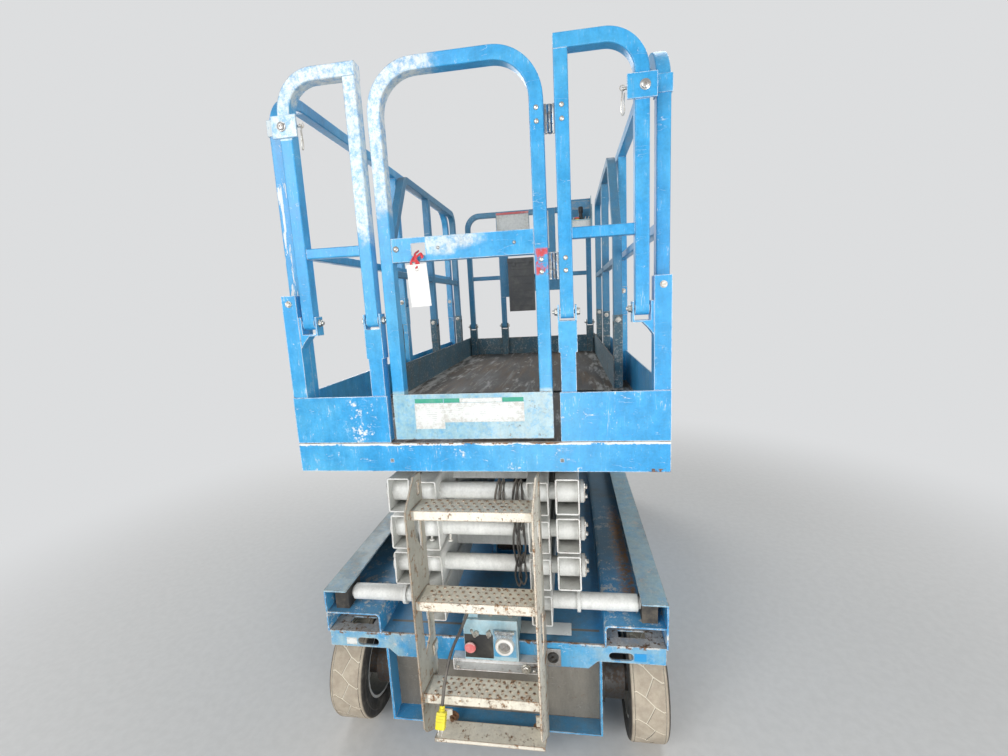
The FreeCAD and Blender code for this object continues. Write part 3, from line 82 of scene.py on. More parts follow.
PIVOT = {j["name"]: Vector(j["pos_m"]) for j in frame["joints"] if j.get("pos_m")}
MID_Y = (middle("tyre_rear_right").y + middle("tyre_front_right").y) / 2
DECK_TOP = high("platform_deck").z
CHASSIS_FACE_Y = low("rear_bumper").y
PANEL_FACE_Y = low("control_channel").y
GATE_FACE_Y = MID_Y - 1.120
KICK_FACE_Y = low("gate").y
PLATFORM_FACE_Y = low("platform_frame").y
PANEL_TOP = 0.532
WHEELS = ("rear_left", "rear_right", "front_left", "front_right")
STAGES = 4

# Sizes repeated from the construction
POST_TUBE = 0.038
CHEEK_OUT = 0.027
PIN_TUBE_RADIUS = 0.0275
PIN_CAP_X = 0.328
BULKHEAD_RECESS = 0.062
SIDE_OF = {"left": -1, "right": 1}
OUTWARD = Vector((0, -1, 0))


class Shader:
    """Places nodes in one material or node group."""

    def __init__(self, tree):
        self.tree = tree
        self.coords = None

    def join(self, value, socket):
        if isinstance(value, bpy.types.NodeSocket):
            self.tree.links.new(value, socket)
        else:
            socket.default_value = value

    def put(self, kind, sockets=None, **options):
        made = self.tree.nodes.new("ShaderNode" + kind)
        for option, value in options.items():
            setattr(made, option, value)
        for key, value in (sockets or {}).items():
            self.join(value, made.inputs[key])
        return made

    def place(self):
        """Object coordinates: each piece keeps its own pattern while it moves."""
        if self.coords is None:
            self.coords = self.put("TexCoord").outputs["Object"]
        return self.coords

    def maths(self, operation, *values):
        made = self.put("Math", operation=operation)
        for index, value in enumerate(values):
            self.join(value, made.inputs[index])
        return made.outputs[0]

    def plus(self, first, second):
        return self.maths("ADD", first, second)

    def minus(self, first, second):
        return self.maths("SUBTRACT", first, second)

    def times(self, first, second):
        return self.maths("MULTIPLY", first, second)

    def total(self, *terms):
        """Sum of values, each with its share."""
        whole = None
        for value, share in terms:
            part = self.times(value, share)
            whole = part if whole is None else self.plus(whole, part)
        return whole

    def most(self, *masks):
        """The strongest of some masks."""
        found = masks[0]
        for mask in masks[1:]:
            found = self.maths("MAXIMUM", found, mask)
        return found

    def mix(self, amount, first, second, blend="MIX"):
        made = self.put("Mix", data_type="RGBA", blend_type=blend)
        self.join(amount, made.inputs[0])
        self.join(first, made.inputs[6])
        self.join(second, made.inputs[7])
        return made.outputs[2]

    def step(self, value, start, end, first=0.0, last=1.0):
        made = self.put("MapRange", interpolation_type="SMOOTHSTEP")
        for index, entry in enumerate((value, start, end, first, last)):
            self.join(entry, made.inputs[index])
        return made.outputs[0]

    def noise(self, scale, detail=4.0, rough=0.6, stretch=None, shift=0.0):
        vector = self.place()
        if stretch or shift:
            vector = self.put("Mapping", {"Vector": vector, "Location": (shift,) * 3,
                                          "Scale": stretch or (1, 1, 1)}).outputs[0]
        made = self.put("TexNoise", {"Vector": vector, "Scale": scale, "Detail": detail, "Roughness": rough})
        return made.outputs[0]

    def axis(self, name):
        return self.put("SeparateXYZ", {0: self.place()}).outputs["XYZ".index(name)]

    def facing(self, name):
        """How far the surface faces along an axis."""
        normal = self.put("NewGeometry").outputs["Normal"]
        return self.put("SeparateXYZ", {0: normal}).outputs["XYZ".index(name)]

    def within(self, *spans):
        """Soft mask of a region: each span is an axis, where it starts and where it is full."""
        mask = None
        for name, start, full in spans:
            part = self.step(self.axis(name), start, full)
            mask = part if mask is None else self.times(mask, part)
        return mask

    def group(self, name, sockets=None):
        made = self.put("Group", node_tree=bpy.data.node_groups[name])
        for key, value in (sockets or {}).items():
            self.join(value, made.inputs[key])
        return made.outputs


def new_group(name, entries, exits):
    """Empty shader group with its sockets, its entry sockets and its exit node."""
    tree = bpy.data.node_groups.new(name, "ShaderNodeTree")
    for label, kind, default in entries:
        made = tree.interface.new_socket(name=label, in_out="INPUT", socket_type="NodeSocket" + kind)
        made.default_value = default
    for label, kind in exits:
        tree.interface.new_socket(name=label, in_out="OUTPUT", socket_type="NodeSocket" + kind)
    entry = tree.nodes.new("NodeGroupInput").outputs
    leave = tree.nodes.new("NodeGroupOutput").inputs
    return Shader(tree), entry, leave


def rgba(colour):
    return (*colour, 1.0)


def edge_finder_group():
    """Mask of the outer edges, from the difference between a rounded normal and the real one."""
    s, entry, leave = new_group("Edge Finder", [("Radius", "Float", 0.004)], [("Edge", "Float")])
    rounded = s.put("Bevel", {"Radius": entry["Radius"]}, samples=4).outputs[0]
    real = s.put("NewGeometry").outputs["Normal"]
    turn = s.put("VectorMath", {0: rounded, 1: real}, operation="DOT_PRODUCT").outputs["Value"]
    s.join(s.step(turn, 0.985, 0.86), leave["Edge"])


def worn_paint_group():
    """Paint that fades, chips at edges, scratches, rusts and gathers grime on what faces up."""
    entries = [(label, "Color", rgba((0.8, 0.8, 0.8))) for label in ("Paint", "Faded", "Primer")]
    entries += [(label, "Color", rgba((0.2, 0.2, 0.2))) for label in ("Rust", "Dirt")]
    entries += [(label, "Float", default) for label, default in (
        ("Edge", 0.0), ("Scrape", 0.0), ("Corrosion", 0.0), ("Fade", 0.5), ("Chips", 0.3), ("Scratches", 0.3),
        ("Rusting", 0.3), ("Grime", 0.2), ("Gloss", 0.4))]
    exits = [("Color", "Color"), ("Roughness", "Float"), ("Height", "Float")]
    s, entry, leave = new_group("Worn Paint", entries, exits)
    broad = s.noise(2.6, 5.0, 0.6)
    patch = s.noise(15.0, 6.0, 0.68, shift=3.1)
    fine = s.noise(150.0, 5.0, 0.75)
    streak = s.noise(1.0, 5.0, 0.7, (42.0, 42.0, 9.0), shift=6.3)
    fade = s.times(s.step(s.total((broad, 0.7), (patch, 0.35)), 0.42, 0.66), entry["Fade"])
    colour = s.mix(fade, entry["Paint"], entry["Faded"])
    tone = s.plus(s.step(patch, 0.28, 0.72, 0.86, 1.06), s.step(streak, 0.30, 0.70, -0.08, 0.07))
    tone = s.plus(tone, s.step(fine, 0.34, 0.66, -0.07, 0.05))
    colour = s.mix(1.0, colour, s.put("CombineColor", {0: tone, 1: tone, 2: tone}).outputs[0], "MULTIPLY")
    chip = s.total((fine, 0.55), (patch, 0.45), (entry["Edge"], 0.24), (entry["Scrape"], 0.30),
                   (entry["Chips"], 1.0))
    chip = s.step(chip, 0.95, 1.03)
    colour = s.mix(chip, colour, entry["Primer"])
    for shift, stretch, start, full in ((1.7, (70.0, 70.0, 5.0), 0.50, 0.60),
                                        (2.7, (9.0, 60.0, 38.0), 0.47, 0.38)):
        line = s.maths("ABSOLUTE", s.minus(s.noise(1.0, 3.0, 0.5, stretch, shift), 0.5))
        line = s.times(s.step(line, 0.006, 0.0), s.step(patch, start, full))
        colour = s.mix(s.times(line, entry["Scratches"]), colour, entry["Primer"])
    speck = s.step(s.noise(260.0, 4.0, 0.7, shift=9.0), 0.665, 0.72)
    colour = s.mix(s.times(speck, entry["Scratches"]), colour, entry["Rust"])
    rust = s.total((s.noise(34.0, 7.0, 0.72, shift=7.7), 0.8), (broad, 0.2), (entry["Edge"], 0.17),
                   (entry["Corrosion"], 0.34), (entry["Rusting"], 1.0))
    rust = s.step(rust, 0.94, 1.04)
    deep = s.mix(s.step(fine, 0.35, 0.65), entry["Rust"], rgba(DEEP_RUST))
    colour = s.mix(rust, colour, deep)
    settle = s.plus(s.step(s.facing("Z"), 0.2, 1.0, 0.35, 1.0), s.step(patch, 0.35, 0.7, -0.25, 0.35))
    grime = s.times(s.times(settle, s.step(broad, 0.3, 0.62, 0.4, 1.0)), entry["Grime"])
    s.join(s.mix(grime, colour, entry["Dirt"]), leave["Color"])
    s.join(s.total((entry["Gloss"], 1.0), (chip, 0.18), (rust, 0.4), (grime, 0.3),
                   (s.step(patch, 0.3, 0.7, -0.05, 0.08), 1.0)), leave["Roughness"])
    s.join(s.total((chip, -0.6), (fine, 0.25), (s.times(rust, fine), 1.6)), leave["Height"])


def tarnish_group():
    """Bare metal with dull stains."""
    s, entry, leave = new_group("Tarnish", [
        ("Metal", "Color", rgba((0.6, 0.6, 0.6))), ("Stain", "Color", rgba((0.2, 0.15, 0.1))),
        ("Amount", "Float", 0.4), ("Gloss", "Float", 0.35),
    ], [("Color", "Color"), ("Roughness", "Float"), ("Metallic", "Float"), ("Height", "Float")])
    patch = s.noise(70.0, 6.0, 0.7)
    stained = s.step(s.total((patch, 1.0), (s.noise(9.0), 0.3)), 0.58, 0.78)
    stain = s.times(stained, entry["Amount"])
    s.join(s.mix(stain, entry["Metal"], entry["Stain"]), leave["Color"])
    s.join(s.plus(entry["Gloss"], s.times(stain, 0.45)), leave["Roughness"])
    s.join(s.step(stain, 0.9, 0.1, 0.2, 1.0), leave["Metallic"])
    s.join(patch, leave["Height"])


def dusty_group():
    """Plastic or rubber with dust in broad patches and on what faces up."""
    s, entry, leave = new_group("Dusty", [
        ("Body", "Color", rgba((0.05, 0.05, 0.05))), ("Dust", "Color", rgba((0.4, 0.37, 0.32))),
        ("Amount", "Float", 0.4), ("Gloss", "Float", 0.5),
    ], [("Color", "Color"), ("Roughness", "Float"), ("Height", "Float")])
    veil = s.plus(s.noise(11.0, 6.0, 0.7), s.step(s.facing("Z"), 0.0, 1.0, 0.0, 0.22))
    veil = s.times(s.step(veil, 0.42, 0.78), entry["Amount"])
    s.join(s.mix(veil, entry["Body"], entry["Dust"]), leave["Color"])
    s.join(s.plus(entry["Gloss"], s.times(veil, 0.35)), leave["Roughness"])
    s.join(s.noise(320.0, 3.0, 0.6), leave["Height"])


SHARED_GROUPS = {"Edge Finder": edge_finder_group, "Worn Paint": worn_paint_group,
                 "Tarnish": tarnish_group, "Dusty": dusty_group}


def new_material(name):
    for label, build in SHARED_GROUPS.items():
        if label not in bpy.data.node_groups:
            build()
    material = bpy.data.materials.new(name)
    material.use_nodes = True
    material.node_tree.nodes.clear()
    return material, Shader(material.node_tree)


def surface(s, colour, roughness, height=None, relief=0.0004, **fixed):
    """Principled surface with its output; fixed values are set on its own sockets."""
    shader = s.put("BsdfPrincipled", {"Base Color": colour, "Roughness": roughness})
    for label, value in fixed.items():
        s.join(value, shader.inputs[label.replace("_", " ")])
    if height is not None:
        bump = s.put("Bump", {"Height": height, "Distance": relief, "Strength": 0.8})
        s.join(bump.outputs[0], shader.inputs["Normal"])
    s.join(shader.outputs[0], s.put("OutputMaterial").inputs["Surface"])


def colour_property(name, description, default):
    return bpy.props.FloatVectorProperty(name=name, description=description, default=default,
                                         subtype="COLOR", min=0.0, max=1.0)


class LiftPaintSettings(bpy.types.PropertyGroup):
    """Colours that the worn finishes share, linear."""
    sky_blue: colour_property("Sky blue", "Paint of the rails, platform and chassis", (0.024, 0.335, 0.700))
    faded_blue: colour_property("Faded blue", "The same paint where the sun has faded it",
                                (0.075, 0.430, 0.730))
    pale_primer: colour_property("Pale primer", "What shows where the blue paint is chipped",
                                 (0.74, 0.78, 0.78))
    rust: colour_property("Rust", "Rust on the blue and the white steel", (0.300, 0.130, 0.045))
    grime: colour_property("Grime", "Dirt that settles on the blue steel", (0.120, 0.100, 0.075))
    grey_dirt: colour_property("Grey dirt", "Dirt that settles on the white steel", (0.230, 0.215, 0.185))


def shared(colour):
    """A colour as it is, or the shared one of that name."""
    return getattr(bpy.context.scene.lift_paint, colour) if isinstance(colour, str) else colour


DEEP_RUST = (0.055, 0.028, 0.016)
PAINT_COLOURS = ("Paint", "Faded", "Primer", "Rust", "Dirt")
PAINT_AMOUNTS = ("Fade", "Chips", "Scratches", "Rusting", "Grime", "Gloss")
# Columns: paint, faded, primer, rust, dirt, fade, chips, scratches, rusting, grime, gloss, edge radius
PAINTS = {
    "rail_blue": ("sky_blue", "faded_blue", "pale_primer", "rust", "grime",
                  0.75, 0.325, 0.6, 0.235, 0.12, 0.34, 0.0035),
    "fascia_blue": ("sky_blue", "faded_blue", "pale_primer", "rust", "grime",
                    0.9, 0.345, 0.9, 0.25, 0.12, 0.36, 0.004),
    "chassis_blue": ("sky_blue", "faded_blue", "pale_primer", "rust", "grime",
                     0.7, 0.345, 0.7, 0.33, 0.50, 0.40, 0.004),
    "inner_blue": ((0.03, 0.24, 0.46), (0.08, 0.31, 0.48), "pale_primer", "rust", "grime",
                   0.6, 0.33, 0.5, 0.30, 0.55, 0.45, 0.0035),
    # Toe boards: dirty dark blue, darkened further as painted shade for the unlit inside of the platform
    "toe_blue": ((0.032, 0.130, 0.195), (0.060, 0.155, 0.200), (0.40, 0.43, 0.43), "rust", "grime",
                 0.7, 0.37, 0.7, 0.33, 0.80, 0.50, 0.004),
    "bulkhead": ((0.200, 0.180, 0.150), (0.270, 0.255, 0.220), (0.40, 0.39, 0.36), "rust", "grime",
                 0.8, 0.33, 0.5, 0.36, 0.60, 0.50, 0.004),
    "arm_white": ((0.86, 0.87, 0.84), (0.68, 0.68, 0.65), (0.24, 0.20, 0.16), "rust", "grey_dirt",
                  0.6, 0.245, 0.3, 0.300, 0.35, 0.42, 0.003),
    "ladder_white": ((0.88, 0.84, 0.73), (0.76, 0.70, 0.57), (0.30, 0.19, 0.10), (0.42, 0.22, 0.09),
                     "grey_dirt", 0.7, 0.33, 0.4, 0.335, 0.10, 0.50, 0.0055),
    # Ladder's side plates: the ladder's white paint made grey, as painted shade on the faces turned away from
    # the light
    "stringer_grey": ((0.44, 0.43, 0.37), (0.36, 0.35, 0.30), (0.28, 0.18, 0.10), "rust", "grey_dirt",
                      0.7, 0.33, 0.4, 0.335, 0.25, 0.50, 0.0055),
    "dusty_shelf": ((0.58, 0.53, 0.48), (0.50, 0.45, 0.40), (0.70, 0.68, 0.64), "rust", "grime",
                    0.7, 0.33, 0.4, 0.335, 0.25, 0.50, 0.0055),
    "loose_rust": ((0.52, 0.24, 0.08), (0.40, 0.20, 0.08), (0.30, 0.13, 0.05), "rust", "grime",
                   0.7, 0.33, 0.4, 0.335, 0.25, 0.50, 0.0055),
    "rim_white": ((0.55, 0.54, 0.50), (0.40, 0.39, 0.36), (0.20, 0.16, 0.12), "rust", "grime",
                  0.6, 0.30, 0.3, 0.33, 0.6, 0.5, 0.003),
    "panel_white": ((0.74, 0.75, 0.74), (0.62, 0.63, 0.62), (0.25, 0.18, 0.12), "rust", "grey_dirt",
                    0.5, 0.29, 0.3, 0.36, 0.30, 0.35, 0.003),
    "rubbed_white": ((0.74, 0.80, 0.81), (0.56, 0.70, 0.75), (0.08, 0.30, 0.46), "rust", "grime",
                     0.8, 0.405, 0.6, 0.26, 0.15, 0.42, 0.0025),
    "rubbed_pale": ((0.30, 0.52, 0.61), (0.52, 0.64, 0.66), (0.60, 0.62, 0.60), "rust", "grime",
                    0.9, 0.35, 0.6, 0.30, 0.25, 0.45, 0.003),
    "red_mark": ((0.60, 0.035, 0.06), (0.62, 0.12, 0.12), "pale_primer", "rust", "grime",
                 0.5, 0.3, 0.3, 0.3, 0.2, 0.4, 0.003),
    "cabinet_blue": ((0.05, 0.36, 0.64), (0.30, 0.52, 0.66), "pale_primer", "rust", "grime",
                     0.9, 0.385, 0.5, 0.28, 0.40, 0.35, 0.003),
}


def painted(name, recipe, scrape=None, corrosion=None, patches=()):
    """Worn paint after a row of PAINTS. scrape and corrosion put masks of places where it is worse.

    Each patch is a mask and the row whose colours hold there.
    """
    *values, radius = PAINTS[recipe]
    material, s = new_material(name)
    sockets = dict(zip(PAINT_COLOURS + PAINT_AMOUNTS, values))
    for label in PAINT_COLOURS:
        sockets[label] = rgba(shared(sockets[label]))
    sockets["Edge"] = s.group("Edge Finder", {"Radius": radius})["Edge"]
    for mask, other in patches:
        place = mask(s)
        for label, there in zip(("Paint", "Faded", "Primer"), PAINTS[other]):
            sockets[label] = s.mix(place, sockets[label], rgba(shared(there)))
    if scrape:
        sockets["Scrape"] = scrape(s)
    if corrosion:
        sockets["Corrosion"] = corrosion(s)
    worn = s.group("Worn Paint", sockets)
    surface(s, worn["Color"], worn["Roughness"], worn["Height"], Coat_Weight=0.12, Coat_Roughness=0.3)
    return material


# Regions of wear are spans: an axis, where the region starts and where it is full
def over_deck(start, full):
    return ("Z", DECK_TOP + start, DECK_TOP + full)


def behind(face, start, full):
    return ("Y", face + start, face + full)


def patchy(s, spans, noise, steps):
    """A region's mask broken up by noise, which the steps turn into a share."""
    return s.times(s.within(*spans), s.step(s.noise(*noise), *steps))


def blotches(s, spans, scale, start, full, gain):
    """Ragged patches of a region."""
    return patchy(s, spans, (scale, 6.0, 0.7, None, scale), (start, full, 0.0, gain))


def ragged(s, place):
    """A place's mask with an uneven border, mottled where the colour below shows through."""
    uneven = s.total((place, 1.0), (s.noise(19.0, 6.0, 0.72, shift=2.0), 0.9))
    mottled = s.step(s.noise(46.0, 9.0, 0.82, shift=5.5), 0.40, 0.56, 0.30, 1.0)
    return s.times(s.step(uneven, 0.74, 1.10), mottled)


def left_top_rubbed(s):
    """The left panel's top and inner post are rubbed to pale primer."""
    post = s.within(("X", -0.32, -0.305), over_deck(0.50, 0.74))
    bar = s.within(("X", -0.10, -0.28), over_deck(0.94, 1.02), ("X", -0.52, -0.43))
    strap = s.within(("X", -0.450, -0.458), over_deck(0.900, 0.908), behind(GATE_FACE_Y, 0.004, 0.001))
    return ragged(s, s.most(post, bar, strap))


def gate_left_rubbed(s):
    """The gate is rubbed pale on its left post, its bend and along the middle bar."""
    post = s.within(("X", -0.170, -0.20), over_deck(0.56, 0.80))
    bend = s.within(("X", 0.02, -0.14), over_deck(0.94, 1.02))
    bar = s.within(("X", -0.112, -0.100), ("X", 0.16, -0.08), over_deck(0.52, 0.60), over_deck(0.66, 0.62))
    return ragged(s, s.times(s.most(post, bend, bar), 0.93))


def kick_worn(s):
    """The kick panel's paint is worn thin and pale all over."""
    return patchy(s, (over_deck(0.165, 0.155),), (45.0, 7.0, 0.8, None, 4.0), (0.30, 0.56, 0.35, 1.0))


def gate_corrosion(s):
    """Rust specks over the kick panel."""
    return patchy(s, (over_deck(0.17, 0.12),), (80.0, 6.0, 0.8), (0.42, 0.64, 0.12, 0.55))


def gate_red_place(s):
    """A rubbed red paint mark beside the gate's right post."""
    return patchy(s, (("X", 0.205, 0.212), ("X", 0.245, 0.240), over_deck(0.480, 0.488),
                      over_deck(0.560, 0.552)), (30.0, 6.0, 0.7), (0.40, 0.52))


def rear_plate_scrape(s):
    """White blotches low on the rear plates."""
    return blotches(s, (("X", -0.29, -0.33), ("X", -0.44, -0.37), over_deck(0.16, 0.12),
                        over_deck(-0.02, 0.03)), 26.0, 0.47, 0.62, 0.62)


def fascia_scrape(s):
    """Pale scuffs over the rear fascia and a rubbed line along its top edge."""
    face = behind(PLATFORM_FACE_Y, 0.03, 0.01)
    line = patchy(s, (over_deck(-0.014, -0.006), face), (11.0, 6.0, 0.7), (0.40, 0.52, 0.35, 1.0))
    return s.most(line, blotches(s, (face,), 12.0, 0.55, 0.70, 0.45))


def fascia_corrosion(s):
    """Rust along the top edge in the middle and at the lower right corner."""
    top = blotches(s, (over_deck(-0.012, -0.004), ("X", -0.30, -0.24), ("X", 0.30, 0.24)),
                   15.0, 0.38, 0.55, 1.0)
    corner = blotches(s, (("X", 0.49, 0.54), over_deck(-0.076, -0.086)), 30.0, 0.40, 0.55, 1.0)
    return s.most(top, corner)


def left_post_scrape(s):
    """White streaks half way up the outer left posts."""
    return patchy(s, (("Z", 1.56, 1.62), ("Z", 1.98, 1.90), behind(MID_Y, -0.98, -1.02)),
                  (5.0, 4.0, 0.6, (14.0, 14.0, 1.2)), (0.52, 0.56))


def bumper_scrape(s):
    """Bumper scuffed pale over its left half and along its lip."""
    return s.most(blotches(s, (("X", 0.10, -0.10),), 34.0, 0.44, 0.70, 0.42),
                  blotches(s, (("Z", 0.425, 0.432),), 20.0, 0.35, 0.55, 0.5))


def bumper_worn(s):
    """The bumper's ends are worn to turquoise, the left one most."""
    ends = s.most(s.within(("X", -0.20, -0.34)), s.times(s.within(("X", 0.24, 0.38)), 0.75))
    return s.times(ends, s.step(s.noise(16.0, 7.0, 0.75), 0.34, 0.60, 0.1, 0.9))


def bumper_shelf(s):
    """The bumper's top is bare and dusty."""
    return patchy(s, (("Z", 0.4345, 0.4355),), (40.0, 7.0, 0.8), (0.30, 0.55, 0.5, 1.0))


def bumper_corrosion(s):
    """Rust along the folded edges of the bumper."""
    return blotches(s, (("Z", 0.420, 0.428),), 44.0, 0.44, 0.62, 0.60)


def right_track_rust(s):
    """Loose rust runs in specks along the right track beside the web."""
    return patchy(s, (("X", 0.435, 0.480), ("X", 0.515, 0.500), ("Y", -1.0, -0.85), ("Y", -0.1, -0.4),
                      ("Z", 0.56, 0.54)), (60.0, 7.0, 0.8), (0.40, 0.56))


def flange_worn(s):
    """The rails' top flanges are worn pale."""
    return patchy(s, (("Z", 0.580, 0.586),), (28.0, 7.0, 0.75), (0.30, 0.58, 0.45, 1.0))


def track_floor_dirt_and_shade(s):
    """Old grease and dirt darken the tracks under the stack, together with painted shade where the stack
    shades them.
    """
    return s.times(s.within(("Z", 0.56, 0.53), behind(CHASSIS_FACE_Y, 0.18, 0.50)), 0.75)


def track_scuffs(s):
    """Pale scuffs on the track floors, the rail ends and along the top flanges."""
    floor = blotches(s, (("Z", 0.55, 0.50), ("Y", 0.2, -0.4)), 24.0, 0.44, 0.64, 0.62)
    ends = blotches(s, (behind(CHASSIS_FACE_Y, 0.22, 0.14), ("Z", 0.575, 0.560)), 38.0, 0.46, 0.68, 0.50)
    top = blotches(s, (("Z", 0.584, 0.588),), 42.0, 0.42, 0.68, 0.45)
    return s.most(floor, ends, top)


def stringers(s):
    """The ladder's side plates."""
    return s.most(s.within(("X", -0.183, -0.189)), s.within(("X", 0.186, 0.192)))


def tread_corrosion(s):
    """Treads rust all over in patches, and most where feet wear their front lips."""
    treads = s.within(("X", -0.190, -0.183), ("X", 0.193, 0.186))
    patches = s.step(s.noise(85.0, 7.0, 0.8), 0.46, 0.66, 0.0, 0.55)
    lips = patchy(s, (behind(CHASSIS_FACE_Y, -0.10, -0.125),), (22.0, 7.0, 0.8), (0.42, 0.66, 0.0, 0.55))
    return s.most(s.times(treads, s.most(patches, lips)), s.times(stringers(s), 0.26))


def bulkhead_place(s):
    """The tub's recessed rear wall, which is galvanised and dusty."""
    face = low("chassis_tub").y + BULKHEAD_RECESS
    return s.within(behind(face, -0.0020, -0.0005), behind(face, 0.012, 0.006), ("X", 0.372, 0.368),
                    ("X", -0.372, -0.368), ("Z", 0.084, 0.087))


def toe_scrape(s):
    """Specks of bare metal over the inner toe boards."""
    return s.step(s.noise(70.0, 6.0, 0.8, shift=6.0), 0.50, 0.62, 0.0, 0.55)


def metal(name, colour, stain, amount, gloss, relief=0.0002):
    material, s = new_material(name)
    bare = s.group("Tarnish", {"Metal": rgba(colour), "Stain": rgba(stain), "Amount": amount, "Gloss": gloss})
    surface(s, bare["Color"], bare["Roughness"], bare["Height"], relief, Metallic=bare["Metallic"])
    return material


def plastic(name, colour, dust, amount, gloss, relief=0.0001):
    material, s = new_material(name)
    body = s.group("Dusty", {"Body": rgba(colour), "Dust": rgba(dust), "Amount": amount, "Gloss": gloss})
    surface(s, body["Color"], body["Roughness"], body["Height"], relief)
    return material


def deck_material():
    """Bare deck plate: dark brown with long worn tracks, grey smears and pale scrapes."""
    material, s = new_material("deck_plate")
    edge = s.group("Edge Finder", {"Radius": 0.004})["Edge"]
    broad = s.noise(1.0, 6.0, 0.62, (6.0, 1.6, 6.0))
    tracks = s.noise(1.0, 6.0, 0.66, (34.0, 1.5, 34.0), shift=2.2)
    fine = s.noise(120.0, 6.0, 0.72)
    smear = s.noise(1.0, 6.0, 0.7, (20.0, 3.0, 20.0), shift=5.0)
    colour = s.mix(s.step(broad, 0.38, 0.62), rgba((0.030, 0.027, 0.023)), rgba((0.105, 0.072, 0.044)))
    colour = s.mix(s.step(tracks, 0.46, 0.60, 0.0, 0.85), colour, rgba((0.045, 0.042, 0.038)))
    colour = s.mix(s.step(tracks, 0.44, 0.34, 0.0, 0.85), colour, rgba((0.200, 0.205, 0.200)))
    rim = s.most(s.step(s.axis("X"), -0.28, -0.46), s.step(s.axis("X"), 0.36, 0.47))
    pale = s.total((smear, 0.75), (fine, 0.25), (rim, 0.08))
    colour = s.mix(s.step(pale, 0.53, 0.64, 0.0, 0.85), colour, rgba((0.44, 0.43, 0.40)))
    colour = s.mix(s.times(edge, 0.6), colour, rgba((0.42, 0.41, 0.38)))
    rough = s.step(s.total((broad, 1.0), (fine, 0.3)), 0.4, 0.9, 0.42, 0.8)
    surface(s, colour, rough, fine, 0.0005, Metallic=s.step(tracks, 0.45, 0.30, 0.05, 0.5))
    return material


def tyre_material():
    """Dusty tread and darker side walls, with the grooves painted paler as painted light against the shade in
    them.
    """
    axle, edge = middle("tyre_front_right"), high("tyre_front_right")
    radius = edge.z / 2
    depth = bpy.context.scene.lift_sizes.tread_depth
    flat = edge.x - axle.x - SHOULDER
    material, s = new_material("tyre_rubber")
    x, y, z = s.put("SeparateXYZ", {0: s.place()}).outputs
    across = s.maths("ABSOLUTE", s.facing("X"))
    along = s.minus(s.maths("ABSOLUTE", s.minus(y, MID_Y)), axle.y - MID_Y)
    up = s.minus(z, axle.z)
    reach = s.maths("SQRT", s.plus(s.times(along, along), s.times(up, up)))
    groove = s.times(s.step(reach, radius - depth * 0.2, radius - depth * 0.6), s.step(across, 0.95, 0.7))
    off = s.maths("ABSOLUTE", s.minus(s.maths("ABSOLUTE", x), axle.x))
    groove = s.times(groove, s.step(off, flat + 0.0004, flat - 0.0006))
    mottle = s.noise(22.0, 6.0, 0.7)
    tread = s.mix(s.step(mottle, 0.35, 0.68), rgba((0.340, 0.285, 0.220)), rgba((0.460, 0.400, 0.315)))
    colour = s.mix(s.step(across, 0.35, 0.75), tread, rgba((0.030, 0.026, 0.022)))
    dusty = s.times(s.step(s.noise(13.0, 6.0, 0.7), 0.45, 0.75), 0.35)
    colour = s.mix(dusty, colour, rgba((0.32, 0.29, 0.24)))
    # Painted light: the grooves are made paler to lift the shade in them
    colour = s.mix(groove, colour, rgba((0.62, 0.57, 0.47)))
    surface(s, colour, s.step(mottle, 0.3, 0.7, 0.72, 0.9), s.noise(240.0, 4.0, 0.7), 0.0005)
    return material


def label_material(name, paper, ink, cell):
    """Blank printed plate: paper with soft grey blocks where rows would be, and worn corners."""
    material, s = new_material(name)
    edge = s.group("Edge Finder", {"Radius": 0.003})["Edge"]
    worn = s.total((s.noise(90.0, 6.0, 0.75), 1.0), (edge, 0.2))
    upright = s.put("Mapping", {"Vector": s.place(), "Rotation": (math.pi / 2, 0, 0)}).outputs[0]
    blocks = s.put("TexBrick", {"Vector": upright, "Scale": 1.0, "Mortar Size": cell * 0.35,
                                "Brick Width": cell * 9, "Row Height": cell, "Mortar Smooth": 0.2},
                   offset=0.37, offset_frequency=2)
    rows = s.times(s.minus(1.0, blocks.outputs["Fac"]), s.step(s.noise(60.0, 3.0), 0.5, 0.6))
    colour = s.mix(s.times(rows, 0.45), rgba(paper), rgba(ink))
    colour = s.mix(s.step(worn, 0.62, 0.72, 0.0, 0.6), colour, rgba((0.45, 0.43, 0.38)))
    surface(s, colour, s.step(worn, 0.4, 0.7, 0.35, 0.65), worn, 0.0001)
    return material


def cloth_material():
    """Woven nylon strap in warm red."""
    material, s = new_material("red_strap")
    weave = s.put("TexWave", {"Vector": s.place(), "Scale": 420.0, "Distortion": 0.6}).outputs["Fac"]
    colour = s.mix(s.step(s.noise(40.0), 0.35, 0.7), rgba((0.62, 0.020, 0.035)), rgba((0.78, 0.10, 0.11)))
    surface(s, colour, s.step(weave, 0.0, 1.0, 0.55, 0.8), weave, 0.0003, Sheen_Weight=0.3)
    return material


def clear_material():
    """Clear flap over the charging socket."""
    material, s = new_material("clear_flap")
    haze = s.noise(60.0, 5.0, 0.7)
    surface(s, rgba((0.85, 0.88, 0.9)), s.step(haze, 0.3, 0.7, 0.08, 0.35), haze, 0.0002,
            Transmission_Weight=0.85, IOR=1.45)
    return material


